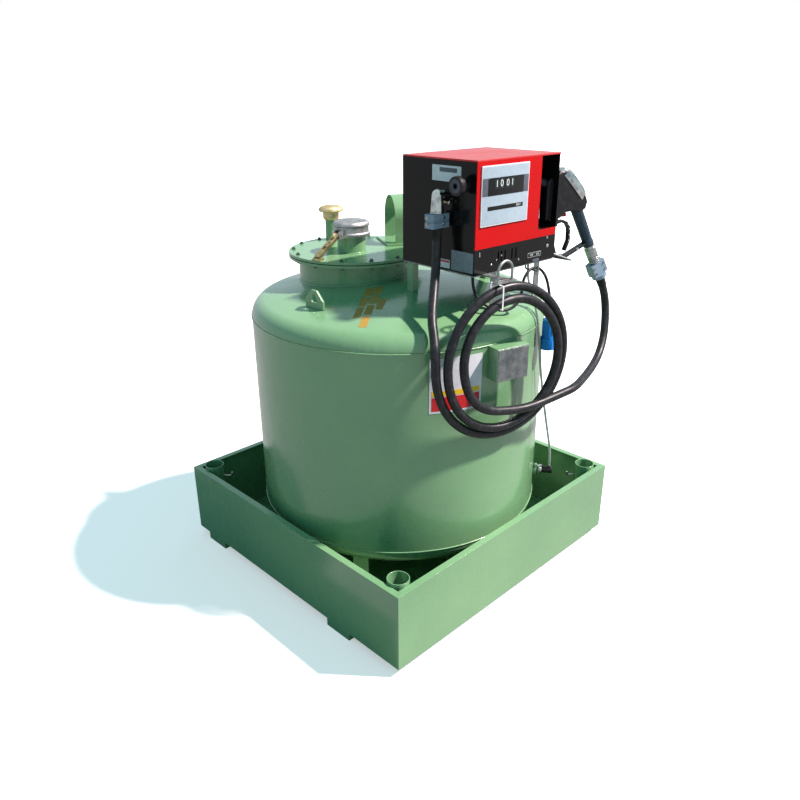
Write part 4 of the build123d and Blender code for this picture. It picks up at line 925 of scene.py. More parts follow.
@dataclass
class Bolts:
    """A geometry nodes tree that sets out bolts in a ring or a row.

    Size holds the head's radius, the head's height and the washer's radius.
    """

    name: str
    layout: Layout
    count: int
    size: tuple
    reach: float = 0.0
    step: tuple = (0.0, 0.0, 0.0)
    seed: int = 7
    most_turn: float = 1.05

    def tree(self, finish: str) -> bpy.types.NodeTree:
        """Build the tree with its named inputs.

        Args:
            finish: Key of the finish that its last node sets.

        Returns:
            The node tree.
        """
        tree = bpy.data.node_groups.new(self.name, "GeometryNodeTree")
        for name, kind in (("Count", "Int"), ("Reach", "Float"), ("Size", "Vector"),
                           ("Step", "Vector")):
            tree.interface.new_socket(name=name, in_out="INPUT", socket_type=f"NodeSocket{kind}")
        tree.interface.new_socket(name="Geometry", in_out="OUTPUT",
                                  socket_type="NodeSocketGeometry")
        given = tree.nodes.new("NodeGroupInput").outputs
        jitter = add_node(tree, "FunctionNodeRandomValue", {}, data_type="FLOAT")
        feed(jitter, {"Min": 0.0, "Max": self.most_turn, "Seed": self.seed})
        turn = [socket for socket in jitter.outputs if socket.enabled][0]
        if self.layout is Layout.RING:
            line = add_node(tree, "GeometryNodeMeshCircle",
                            {"Vertices": given["Count"], "Radius": given["Reach"]})
            index = tree.nodes.new("GeometryNodeInputIndex").outputs["Index"]
            angle = maths(tree, "MULTIPLY", index,
                          maths(tree, "DIVIDE", FULL_TURN, given["Count"]))
            turn = maths(tree, "ADD", angle, turn)
        else:
            line = add_node(tree, "GeometryNodeMeshLine",
                            {"Count": given["Count"], "Offset": given["Step"]})
        euler = add_node(tree, "ShaderNodeCombineXYZ", {"Z": turn})
        spread = add_node(tree, "GeometryNodeInstanceOnPoints", {
            "Points": line.outputs["Mesh"], "Instance": self.bolt(tree, given["Size"]),
            "Rotation": euler.outputs["Vector"]})
        real = add_node(tree, "GeometryNodeRealizeInstances",
                        {"Geometry": spread.outputs["Instances"]})
        paint = add_node(tree, "GeometryNodeSetMaterial", {
            "Geometry": real.outputs["Geometry"], "Material": MATERIALS[finish]})
        add_node(tree, "NodeGroupOutput", {"Geometry": paint.outputs["Geometry"]})
        return tree

    def bolt(self, tree: bpy.types.NodeTree, size: bpy.types.NodeSocket) -> object:
        """A washer, a six-sided head and a thread end, one on the other.

        Args:
            tree: The tree to build in.
            size: The socket that gives the sizes.

        Returns:
            The geometry socket.
        """
        split = add_node(tree, "ShaderNodeSeparateXYZ", {"Vector": size}).outputs
        thread = maths(tree, "MULTIPLY", split["X"], 0.52)
        join = tree.nodes.new("GeometryNodeJoinGeometry")
        for sides, radius, tall, middle in ((20, split["Z"], 0.18, 0.09),
                                            (6, split["X"], 0.82, 0.59),
                                            (12, thread, 0.30, 1.15)):
            cylinder = add_node(tree, "GeometryNodeMeshCylinder", {
                "Vertices": sides, "Radius": radius,
                "Depth": maths(tree, "MULTIPLY", split["Y"], tall)})
            lift = add_node(tree, "ShaderNodeCombineXYZ",
                            {"Z": maths(tree, "MULTIPLY", split["Y"], middle)})
            move = add_node(tree, "GeometryNodeTransform", {
                "Geometry": cylinder.outputs["Mesh"], "Translation": lift.outputs["Vector"]})
            feed(join, {"Geometry": move.outputs["Geometry"]})
        return join.outputs["Geometry"]

    def piece(self, finish: str, local: Matrix) -> bpy.types.Object:
        """Run the tree once and keep its mesh as one piece.

        Args:
            finish: Key of the finish.
            local: Its place in the row frame, in millimetres.

        Returns:
            The new object.
        """
        holder = bpy.data.objects.new(self.name, bpy.data.meshes.new(self.name))
        modifier = holder.modifiers.new("bolts", "NODES")
        tree = self.tree(finish)
        modifier.node_group = tree
        values = {"Count": self.count, "Reach": self.reach, "Size": self.size, "Step": self.step}
        for item in tree.interface.items_tree:
            if item.in_out == "INPUT":
                modifier[item.identifier] = values[item.name]
        mesh = baked(holder)
        mesh.transform(Matrix.Scale(MM, 4) @ local)
        return finished(mesh, self.name, finish)


@dataclass
class Camera:
    """The photograph's camera, in millimetres in the row frame."""

    place: tuple = (-1916.5, -1940.6, 1791.7)
    forward: tuple = (0.6442, 0.6603, -0.3862)
    up: tuple = (0.2760, 0.2702, 0.9225)
    lens: float = 33.145
    shift_x: float = 0.0071
    shift_y: float = -0.0088

    def build(self) -> None:
        """Set the camera up as the scene's own."""
        data = bpy.data.cameras.new("camera")
        data.lens = self.lens
        data.sensor_width = 36.0
        data.shift_x = self.shift_x
        data.shift_y = self.shift_y
        data.clip_end = 100.0
        camera = bpy.data.objects.new("camera", data)
        forward = Vector(self.forward).normalized()
        right = forward.cross(Vector(self.up)).normalized()
        basis = Matrix((right, right.cross(forward), -forward)).transposed().to_4x4()
        camera.matrix_world = Matrix.Translation(Vector(self.place) * MM) @ basis
        bpy.context.scene.collection.objects.link(camera)
        bpy.context.scene.camera = camera


@dataclass
class Studio:
    """Plain pale floor, white surroundings and soft light."""

    sun: float = 9.0
    sun_spread: float = 3.0
    sun_tint: tuple = (1.0, 0.85, 0.84)
    toward_sun: tuple = (0.68, -0.74, 1.18)
    sky: tuple = (0.17, 0.43, 0.50, 1.0)
    mirrored: tuple = (0.62, 0.76, 0.82, 1.0)
    floor_size: float = 30.0
    floor_drop: float = 0.0005
    floor_tone: float = 0.8
    floor_bounce: float = 0.26
    floor_glow: float = 0.45

    def build(self) -> None:
        """Set the floor, the lamp and the surroundings up."""
        self.floor()
        lamp = bpy.data.lights.new("key", "SUN")
        lamp.energy = self.sun
        lamp.color = self.sun_tint
        lamp.angle = math.radians(self.sun_spread)
        key = bpy.data.objects.new("key", lamp)
        key.rotation_euler = Vector(self.toward_sun).to_track_quat("Z", "Y").to_euler()
        bpy.context.scene.collection.objects.link(key)
        self.surroundings()
        bpy.context.scene.view_settings.view_transform = "Standard"

    def surroundings(self) -> None:
        """Light with the sky's tint, and show a pale or white background."""
        world = bpy.data.worlds.new("surroundings")
        world.use_nodes = True
        tree = world.node_tree
        ray = tree.nodes.new("ShaderNodeLightPath").outputs
        colour = self.sky
        for kind, shade in (("Is Glossy Ray", self.mirrored),
                            ("Is Transmission Ray", self.mirrored), ("Is Camera Ray", WHITE)):
            colour = mixed(tree, ray[kind], colour, shade)
        feed(tree.nodes["Background"], {"Color": colour, "Strength": 1.0})
        bpy.context.scene.world = world

    def floor(self) -> None:
        """Lay the floor under the object."""
        work = bmesh.new()
        bmesh.ops.create_grid(work, x_segments=1, y_segments=1, size=self.floor_size)
        mesh = bpy.data.meshes.new("floor")
        work.to_mesh(mesh)
        work.free()
        floor = bpy.data.objects.new("floor", mesh)
        floor.location.z = -self.floor_drop
        bpy.context.scene.collection.objects.link(floor)
        nodes = Nodes("pale_floor")
        seen = nodes.tree.nodes.new("ShaderNodeLightPath").outputs["Is Camera Ray"]
        mesh.materials.append(nodes.finish({
            "Roughness": 0.9,
            "Base Color": mapped(nodes.tree, seen, (0.0, 1.0),
                                 (self.floor_bounce, self.floor_tone)),
            "Emission Strength": mapped(nodes.tree, seen, (0.0, 1.0), (0.0, self.floor_glow)),
            "Emission Color": WHITE,
        }))


@dataclass
class Cords:
    """The delivery hose, the power cord and the gauge tube, on the routes of the CAD tubes."""

    hose_diameter: float = 30.0
    cord_diameter: float = 10.0
    tube_diameter: float = 9.0
    coil_steps: int = 30
    coil_start: float = 165.0
    coil_turns: float = 825.0
    coil_middle: tuple = (8.0, 952.0)
    coil_reach: tuple = ((165, 258), (180, 252), (270, 250), (360, 252), (450, 257), (540, 216),
                         (630, 222), (720, 218), (810, 221), (900, 164), (990, 158))
    coil_out: tuple = (-13.0, 32.0)
    widening: float = 1.03
    hose_drop: tuple = ((-150, -357, 1372), (-150, -357, 1306), (-163, -367, 1236),
                        (-205, -402, 1174), (-265, -455, 1111))
    to_coil: tuple = ((-229, 1064, -52), (-246, 1022, -18))
    off_coil: tuple = ((40, 787, 20), (110, 783, 19), (190, 788, 12), (258, 793, 4),
                       (331, 798, -5))
    hose_rise: tuple = ((346, -622, 801), (436, -593, 808), (521, -564, 829), (583, -540, 880),
                        (617, -518, 945), (625, -505, 1008))
    to_nozzle: tuple = ((321.4, 1064.4, 0), (293.3, 1115.1, 0))
    cord_route: tuple = ((-44, -420, 1211), (-44, -420, 1153), (-20, -458, 1110),
                         (26, -494, 1089), (75, -508, 1098), (110, -506, 1133),
                         (110, -505, 1181), (145, -503, 1216), (193, -503, 1216),
                         (228, -512, 1181), (228, -530, 1130), (226, -541, 1080),
                         (226, -541, 1032))
    tube_route: tuple = ((352.8, -500.1, 392), (352.8, -500.1, 452), (322, -505, 540),
                         (290, -507, 640), (254, -514, 745), (216, -525, 850),
                         (188, -534, 955), (181, -522, 1060), (192, -476, 1140),
                         (196, -457, 1176), (196, -457, 1222))

    def coil_radius(self, angle: float) -> float:
        """Radius of the hose's line from the coil's middle, at an angle along its turns.

        Args:
            angle: The angle in degrees.

        Returns:
            The radius.
        """
        for (low, near), (high, far) in zip(self.coil_reach, self.coil_reach[1:]):
            if angle <= high:
                return near + (far - near) * (angle - low) / (high - low)
        return self.coil_reach[-1][1]

    def hose_points(self) -> list:
        """Control points of the whole hose, in metres.

        Returns:
            Row points from the pump's clamp to the nozzle's clamp.
        """
        turns = []
        for step in range(1, self.coil_steps):
            share = step / self.coil_steps
            angle = self.coil_start + self.coil_turns * share
            reach = self.coil_radius(angle) * self.widening
            turns.append((*on_circle(reach, math.radians(angle), *self.coil_middle),
                          self.coil_out[0] + self.coil_out[1] * share))
        return [*row_points(TANK, *self.hose_drop),
                *row_points(COIL, *self.to_coil, *turns, *self.off_coil),
                *row_points(TANK, *self.hose_rise),
                *row_points(NOZZLE, *self.to_nozzle)]

    def lay(self, name: str, points: list, diameter: float, finish: str, nodes: tuple,
            **says: object) -> None:
        """Args:
            name: The piece's name.
            points: Row points in metres.
            diameter: Thickness in millimetres.
            finish: Key of its finish.
            nodes: The CAD nodes that it stands for.
            says: How it lies and ends; not used.
        """
        curve = smooth_line(name, points, diameter / 2.0 * MM, fine=12, round_steps=8)
        curve.materials.append(MATERIALS[finish])
        cord = bpy.data.objects.new(name, curve)
        bpy.context.scene.collection.objects.link(cord)
        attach(cord, "unit")
        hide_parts(*nodes)

    def build(self) -> None:
        """Lay the three cords."""
        self.lay("delivery_hose", self.hose_points(), self.hose_diameter, "hose",
                 ("hose_drop", "hose_coil", "hose_tail"), far_end="object", lay="coiled")
        self.lay("supply_cord", row_points(TANK, *self.cord_route), self.cord_diameter, "hose",
                 ("power_cord",), far_end="plug", lay="hanging", with_pieces=["power_plug"])
        self.lay("level_tube", row_points(TANK, *self.tube_route), self.tube_diameter, "tube",
                 ("gauge_tube",), far_end="object", lay="hanging")


@dataclass
class Cover:
    """The bolts and weld beads of the tank's cover and heads."""

    x: float = -47.0
    y: float = 187.0
    top: float = 1211.5
    under: float = 1189.0
    bolt_circle: float = 239.5
    bolts: int = 14
    bolt_size: tuple = (6.5, 7.0, 9.5)
    nut_size: tuple = (7.0, 8.0, 9.0)
    neck: float = 221.0
    shell: float = 550.0
    seams: tuple = (1009.0, 269.0)
    crown: float = 2170.0
    crown_middle: float = -1040.2
    filler: tuple = (-92.0, 157.0, 54.0)
    vent: tuple = (-11.0, 389.0, 24.0)
    thin_bead: float = 2.6
    thick_bead: float = 4.0
    wander: tuple = ((0.35, 11.0), (0.25, 29.0))

    def head_height(self, x: float, y: float) -> float:
        """Height of the domed top head at a point of the tank's plan."""
        return math.sqrt(self.crown ** 2 - x * x - y * y) + self.crown_middle

    def bead(self, shape: Shape, x: float, y: float, radius: float, height: float, thick: float,
             points: int) -> None:
        """Lay one weld bead round an upright part.

        Args:
            shape: The shape that gets it.
            x: Centre.
            y: Centre.
            radius: Radius of its line.
            height: Height of its line, or 0 to follow the domed head.
            thick: Radius of the bead.
            points: Number of points round.
        """
        line = []
        for index in range(points):
            angle = FULL_TURN * index / points
            px, py = on_circle(radius, angle, x, y)
            wander = sum(swing * math.sin(waves * angle) for swing, waves in self.wander)
            line.append((px, py, (height or self.head_height(px, py)) + wander))
        shape.wire(line, thick, closed=True, fine=2)

    def build(self) -> None:
        """Set out the bolts and lay the weld beads."""
        half_step = turned(math.pi / self.bolts)
        above = TANK @ at(self.x, self.y, self.top) @ half_step
        below = TANK @ at(self.x, self.y, self.under) @ half_step @ turned(math.pi, "X")
        # The bolts and nuts take the darker green that paints their shade.
        for name, size, place in (("cover_bolts", self.bolt_size, above),
                                  ("cover_nuts", self.nut_size, below)):
            Bolts(name, Layout.RING, self.bolts, size, self.bolt_circle).piece(
                "shaded_bolt_green", place)
        seams = Shape(TANK)
        for height in self.seams:
            self.bead(seams, 0.0, 0.0, self.shell + 0.3, height, self.thin_bead, 120)
        seams.piece("shell_seam_welds", "weld")
        feet = Shape(TANK)
        for x, y, radius, height, thick, points in (
                (self.x, self.y, self.neck, 0.0, self.thick_bead, 72),
                (*self.filler, self.top + 1.0, self.thin_bead, 40),
                (*self.vent, 0.0, self.thin_bead, 32)):
            self.bead(feet, x, y, radius + 1.0, height, thick, points)
        feet.piece("neck_and_pipe_welds", "weld")


@dataclass
class MeterFace:
    """The meter's printed plate, its window and its number wheels."""

    plate: tuple = (-85.0, 141.0, 1378.0, 1562.0)
    front: float = 4.0
    border: float = 3.6
    window: tuple = (-82.0, 137.0, 1471.0, 1524.5)
    glass: tuple = (-57.0, 113.0)
    strip: tuple = (-56.0, 114.0, 1426.0, 1438.5)
    wheels: tuple = (-16.6, 6.0, 34.4, 56.0)
    wheel_half: tuple = (9.5, 15.0)
    wheel_rise: float = 7.5
    figures: str = "1001"
    figure_size: float = 29.0
    total: str = "00417"
    total_size: float = 9.5
    total_inset: float = 22.0

    def build(self) -> None:
        """Lay the plate's films and figures one on the other."""
        x0, x1, z0, z1 = self.plate
        rim = self.border
        flat_piece("meter_printed_face", "face", PANEL, self.front + 0.2,
                   rounded(x0 + rim, x1 - rim, z0 + rim, z1 - rim, 3.0))
        flat_piece("meter_window_band", "grey_bar", PANEL, self.front + 0.6,
                   oblong(*self.window), 0.5)
        low, high = self.window[2:]
        glass = Shape(PANEL @ at(0.0, 0.0, self.front + 1.0))
        glass.plate(oblong(*self.glass, low, high), 0.6, 0.1)
        glass.plate(oblong(*self.strip), 0.6, 0.1, local=at(0.0, 0.0, -0.4))
        glass.piece("meter_window_glass", "window")
        wheels = Shape(PANEL @ at(0.0, 0.0, self.front + 1.5))
        marks = Shape(PANEL @ at(0.0, 0.0, self.front + 2.0))
        middle = (low + high) / 2.0 + self.wheel_rise
        half, tall = self.wheel_half
        for x, figure in zip(self.wheels, self.figures):
            wheels.plate(rounded(x - half, x + half, middle - tall, middle + tall, 1.0),
                         0.4, 0.1)
            marks.text(figure, self.figure_size, at(x, middle, 0.0))
        wheels.piece("meter_number_wheels", "wheel")
        marks.text(self.total, self.total_size,
                   at(self.strip[1] - self.total_inset, (self.strip[2] + self.strip[3]) / 2.0,
                      -0.9))
        marks.piece("meter_figures", "figures")


@dataclass
class CabinetDetails:
    """The switch plate, screws, bare films and bleed screw on the pump's cabinet."""

    switch: tuple = (160.0, 232.0, 1245.5, 1262.5)
    switch_rim: float = 3.0
    words: tuple = (("OFF", 21.0), ("ON", 52.0))
    word_size: float = 9.0
    base_label: tuple = (190.0, 224.0, 1229.0, 1238.0)
    screws: tuple = ((-22.8, 1252.0, 3.6), (2.5, 1264.0, 3.6), (25.9, 1275.5, 3.6),
                     (113.9, 1249.0, 3.6), (261.2, 1303.0, 5.0), (264.9, 1274.2, 6.0),
                     (-80.0, 1289.0, 3.4), (-80.0, 1297.0, 3.0))
    side_films: tuple = (
        ("side_bare_label", "label", 0.2, (285.0, 412.0, 1509.0, 1557.5)),
        ("side_label_bar", "grey_bar", 0.5, (318.0, 394.5, 1537.5, 1551.0)),
        ("side_rating_plate", "grey_label", 0.3, (377.5, 473.5, 1233.0, 1298.0)),
        ("side_small_label", "label", 0.2, (328.0, 371.0, 1234.0, 1262.0)),
        ("side_small_label_band", "red_film", 0.5, (330.0, 369.0, 1253.0, 1259.0)),
    )
    bleed_height: float = 1447.5
    bleed_boss: float = 346.0
    bleed_stem: tuple = (-115.0, -352.0)
    stem_length: float = 18.0
    trim_x: float = 306.5
    trim: tuple = (-478.5, -381.0, 1333.0, 1521.0)
    trim_hole: tuple = (-456.0, -404.0, 1350.0, 1486.0)

    def build(self) -> None:
        """Put the small parts on the cabinet."""
        self.switch_and_screws()
        for name, finish, out, sides in self.side_films:
            flat_piece(name, finish, LEFT_SIDE, out, rounded(*sides, 2.0))
        self.bleed_screw()
        across = TANK @ at(self.trim_x, 0.0, 0.0) @ turned(math.pi / 2.0) @ turned(
            math.pi / 2.0, "X")
        Shape(across).plate(oblong(*self.trim), 2.4, 0.3, [rounded(*self.trim_hole, 4.0)]).piece(
            "pocket_edge_trim", "black")

    def switch_and_screws(self) -> None:
        """Fit the switch with its words, the bare label under it and the screws."""
        x0, x1, z0, z1 = self.switch
        rim = self.switch_rim
        flat_piece("switch_bezel", "zinc", PANEL, 0.7, rounded(x0, x1, z0, z1, 4.0), 1.4, 0.4)
        flat_piece("switch_plate", "window", PANEL, 1.5,
                   rounded(x0 + rim, x1 - rim, z0 + rim, z1 - rim, 2.0))
        middle = (z0 + z1) / 2.0
        words = Shape(PANEL @ at(0.0, 0.0, 1.9))
        for word, inset in self.words:
            words.text(word, self.word_size, at(x0 + inset, middle, 0.0))
        words.piece("switch_words", "figures")
        flat_piece("bare_base_label", "grey_bar", PANEL, 0.2, rounded(*self.base_label, 1.0))
        screws = Shape(PANEL)
        for x, z, radius in self.screws:
            screws.lathe([(0.0, -0.2), (radius, -0.2), (radius, radius * 0.35),
                          (radius * 0.7, radius * 0.62), (0.0, radius * 0.7)],
                         at(x, z, 0.0), 24)
        screws.piece("cabinet_screws", "bright", sharp=50.0)

    def bleed_screw(self) -> None:
        """Fit the bleed boss and its screw."""
        turned_piece("bleed_boss", "black", LEFT_SIDE @ at(self.bleed_boss, self.bleed_height, 0.0),
                     [(0.0, -0.5), (7.5, -0.5), (7.5, 16.0), (6.0, 19.0), (0.0, 19.0)],
                     segments=24)
        line = plane_at(*self.bleed_stem, 0.0, 0.0) @ at(0.0, self.bleed_height, 0.0)
        end = self.stem_length
        turned_piece("bleed_screw_stem", "brass", line,
                     [(0.0, 0.0), (4.6, 0.0), (4.6, 6.0), (3.0, 7.5), (3.0, end), (0.0, end)],
                     segments=24)
        turned_piece("bleed_screw_head", "bright", line @ at(0.0, 0.0, end),
                     [(0.0, -0.5), (5.6, -0.5), (6.4, 1.5), (6.4, 7.0), (5.0, 9.0), (0.0, 9.5)],
                     segments=24)


def sleeve_profile(end: float, way: float) -> list:
    """Profile of the short rubber sleeve on the hose at a clamp.

    Args:
        end: Height of the clamp's end.
        way: 1 where the hose leads up from it, and -1 where it leads down.

    Returns:
        The profile.
    """
    return [(radius, end + way * rise) for radius, rise in (
        (14.0, -1.0), (19.5, -1.0), (19.5, 6.0), (17.8, 9.0), (16.2, 40.0), (14.0, 40.0))]


@dataclass
class OutletDetails:
    """The elbow's collars, the clamp's bolts, the knob's ribs and the hose's sleeve."""

    x: float = -150.0
    y: float = -357.0
    collars: tuple = ((1418.0, 22.9), (1424.0, 22.2))
    clamp_low: float = 1372.0
    bolt_height: float = 1405.0
    bolts_across: tuple = (353.0, -141.0)
    bolt_size: tuple = (4.4, 4.0, 6.0)
    bolt_step: tuple = (0.0, -20.0, 0.0)
    clamp_face: float = -188.0
    clamp_front: float = -377.0
    knob: tuple = (432.0, 1505.0)
    knob_face: float = -149.0
    ribs: int = 28
    rib: tuple = (1.8, 2.6, 13.0)
    rib_place: tuple = (29.0, 0.0, -9.0)

    def build(self) -> None:
        """Fit the small parts to the outlet and the knob."""
        line = TANK @ at(self.x, self.y, 0.0)
        turned_piece("elbow_collars", "bright", line, *(
            [(19.0, height - 2.0), (reach, height - 1.2), (reach + 0.5, height),
             (reach, height + 1.2), (19.0, height + 2.0)] for height, reach in self.collars))
        faces = (plane_at(self.clamp_face, 0.0, 0.0, -90.0),
                 plane_at(0.0, self.clamp_front, 0.0, 0.0))
        names = ("clamp_side_bolts", "clamp_front_bolts")
        for name, face, across in zip(names, faces, self.bolts_across):
            Bolts(name, Layout.ROW, 2, self.bolt_size, step=self.bolt_step).piece(
                "bright", face @ at(across, self.bolt_height, 0.0))
        turned_piece("hose_sleeve_at_pump", "rubber", line, sleeve_profile(self.clamp_low, -1.0))
        knob = plane_at(self.knob_face, 0.0, 0.0, -90.0) @ at(*self.knob, 0.0)
        turned_piece("knob_face_ring", "ring_grey", knob,
                     [(10.0, -0.6), (20.5, -0.6), (21.5, 0.3), (20.5, 1.0), (11.0, 1.0),
                      (10.0, 0.4)])
        ribs = Shape(knob)
        for index in range(self.ribs):
            turn = turned(FULL_TURN * index / self.ribs)
            ribs.block(self.rib, turn @ at(*self.rib_place), 0.5)
        ribs.piece("knob_rim_ribs", "plastic")


@dataclass
class NozzleDetails:
    """The domed pad, latch, rivets, rings and bolts of the hanging nozzle."""

    base: float = 1227.0
    pad_foot: tuple = ((46.0, 1514.0), (166.0, 1396.0))
    pad_size: tuple = (51.0, 40.0)
    latch: tuple = (83.0, 1363.0, 0.0)
    latch_size: tuple = (24.0, 13.0, 18.0)
    rivets: tuple = ((108.5, 101.0), (116.0, 84.0), (118.0, 63.0), (117.5, 43.0))
    rivet_out: float = 8.0
    foot_screw: tuple = (158.6, 1234.0, 12.0)
    handle_start: tuple = (142.0, 161.0)
    handle_lean: float = 29.0
    handle_rings: tuple = (150.0, 157.0, 164.0)
    swivel_rings: tuple = ((171.0, 18.6), (216.0, 20.2), (224.0, 20.0), (232.0, 19.8),
                           (240.0, 19.6))
    clamp_start: float = 246.0
    clamp_end: float = 312.0
    clamp_bolts: tuple = (("left", -23.0), ("right", 23.0))
    bolt_place: tuple = (20.0, 13.0)
    bolt_size: tuple = (4.0, 4.0, 5.4)
    bolt_step: tuple = (0.0, -24.0, 0.0)

    def axis(self) -> Matrix:
        """The handle's line as a frame whose third axis runs down it.

        Returns:
            The frame, in millimetres.
        """
        lean = math.radians(self.handle_lean)
        x, up = self.handle_start
        return NOZZLE @ Matrix((
            (math.cos(lean), 0.0, math.sin(lean), x),
            (math.sin(lean), 0.0, -math.cos(lean), up + self.base),
            (0.0, 1.0, 0.0, 0.0),
            (0.0, 0.0, 0.0, 1.0),
        ))

    def build(self) -> None:
        """Fit the small parts to the nozzle."""
        Shape(NOZZLE).pad(*self.pad_foot, *self.pad_size).piece("nozzle_pad", "bright", sharp=60)
        Shape(NOZZLE).block(self.latch_size, at(*self.latch), 2.0).piece("nozzle_latch", "red")
        rivets = Shape(NOZZLE)
        for x, height in self.rivets:
            for side, flip in ((1.0, 0.0), (-1.0, math.pi)):
                rivets.lathe([(0.0, -0.3), (2.4, -0.3), (2.2, 0.8), (0.0, 1.2)],
                             at(x, height + self.base, self.rivet_out * side)
                             @ turned(flip, "Y"), 16)
        rivets.piece("trigger_rivets", "figures", "trigger")
        screw = Shape(NOZZLE @ at(*self.foot_screw))
        screw.lathe([(0.0, -0.3), (6.0, -0.3), (6.0, 1.6), (4.6, 2.6), (0.0, 2.8)], segments=24)
        screw.lathe([(0.0, 2.6), (2.4, 2.6), (2.4, 3.2), (0.0, 3.2)], segments=6)
        screw.piece("guard_foot_screw", "bright")
        self.along_handle()

    def along_handle(self) -> None:
        """Fit the rings, the clamp's bolts and the sleeve along the handle's line."""
        line = self.axis()
        turned_piece("handle_end_rings", "grip", line, *(
            [(16.0, height - 2.0), (20.2, height - 1.6), (20.8, height), (20.2, height + 1.6),
             (16.0, height + 2.0)] for height in self.handle_rings))
        turned_piece("swivel_rings", "bright", line, *(
            [(14.0, height - 2.6), (reach, height - 2.0), (reach + 0.6, height),
             (reach, height + 2.0), (14.0, height + 2.6)]
            for height, reach in self.swivel_rings))
        out, down = self.bolt_place
        for side, across in self.clamp_bolts:
            face = line @ at(across, out, self.clamp_start + down) @ turned(-math.pi / 2.0, "X")
            Bolts(f"nozzle_clamp_bolts_{side}", Layout.ROW, 2, self.bolt_size,
                  step=self.bolt_step).piece("bright", face)
        turned_piece("hose_sleeve_at_nozzle", "rubber", line, sleeve_profile(self.clamp_end, 1.0))


@dataclass
class ShellFilms:
    """The bare film, the plain stencil bars and the nameplate's rivets."""

    radius: float = 550.2
    sides: tuple = (-121.4, -102.0)
    heights: tuple = (800.0, 990.0)
    bands: tuple = (("shell_film_red_band", "red_film", 8.0, 56.0),
                    ("shell_film_yellow_band", "yellow_film", 60.0, 78.0))
    plate: tuple = (122.0, 110.0)
    plate_top: float = 1005.0
    rivet_inset: float = 6.0
    bars: tuple = (
        ((-187.8, -44.2), (-169.2, -66.7), (-371.5, -226.0), (-393.0, -214.0)),
        ((-155.4, -60.3), (-138.2, -79.5), (-399.0, -292.2), (-415.6, -270.7)),
        ((-226.1, -152.8), (-204.8, -175.1), (-285.8, -236.1), (-300.2, -221.0)),
    )
    bar_length: float = 90.0
    bar_share: float = 0.86
    bar_steps: int = 8

    def build(self) -> None:
        """Lay the films and set the rivets."""
        first, last = self.sides
        Shape(TANK).film(self.radius, first, last, *self.heights).piece(
            "shell_bare_film", "label")
        foot = self.heights[0]
        for name, finish, low, high in self.bands:
            Shape(TANK).film(self.radius + 0.5, first + 0.8, last - 0.8, foot + low,
                             foot + high).piece(name, finish)
        self.stencil()
        rivets = Shape(PLATE)
        half, inset = self.plate[0] / 2.0 - self.rivet_inset, self.rivet_inset
        for x in (-half, half):
            for z in (self.plate_top - inset, self.plate_top - self.plate[1] + inset):
                rivets.lathe([(0.0, 0.0), (3.0, 0.0), (2.6, 1.4), (0.0, 1.9)],
                             at(x, z, 0.0), 16)
        rivets.piece("nameplate_rivets", "zinc")

    def stencil(self) -> None:
        """Lay the plain stencil bars over the domed top head."""
        cover = Cover()
        shape = Shape(TANK)
        for near_left, near_right, far_right, far_left in self.bars:
            blocks = max(1, round(math.dist(near_left, far_left) / self.bar_length))
            for block in range(blocks):
                start, end = block / blocks, (block + self.bar_share) / blocks
                rows = []
                for step in range(self.bar_steps + 1):
                    share = start + (end - start) * step / self.bar_steps
                    left, right = (Vector(near).lerp(Vector(far), share)
                                   for near, far in ((near_left, far_left),
                                                     (near_right, far_right)))
                    rows.append([(*spot, cover.head_height(*spot) + lift)
                                 for spot, lift in ((left, -0.2), (left, 0.5), (right, 0.5),
                                                    (right, -0.2))])
                shape.loft(rows)
        shape.piece("dome_stencil_bars", "orange")


@dataclass
class PlugDetails:
    """The plug's ribs and the sleeve where its cord goes in."""

    top: tuple = (226.0, -541.0, 1032.0)
    radius: float = 22.0
    collar: float = 26.0
    length: float = 108.0
    ribs: int = 10
    upper_rib: tuple = (2.4, 5.0, 46.0)
    lower_rib: tuple = (2.0, 6.0, 26.0)

    def build(self) -> None:
        """Fit the small parts to the plug."""
        place = TANK @ at(*self.top)
        turned_piece("plug_cord_sleeve", "blue", place,
                     [(4.6, -1.0), (11.0, -1.0), (11.0, 8.0), (8.4, 11.0), (6.2, 42.0),
                      (4.6, 42.0)], segments=24)
        ribs = Shape(place)
        for index in range(self.ribs):
            turn = turned(FULL_TURN * index / self.ribs)
            for size, reach, share in ((self.upper_rib, self.radius, 0.3),
                                       (self.lower_rib, self.collar, 0.8)):
                ribs.block(size, turn @ at(reach, 0.0, -self.length * share), 0.8)
        ribs.piece("plug_ribs", "blue")


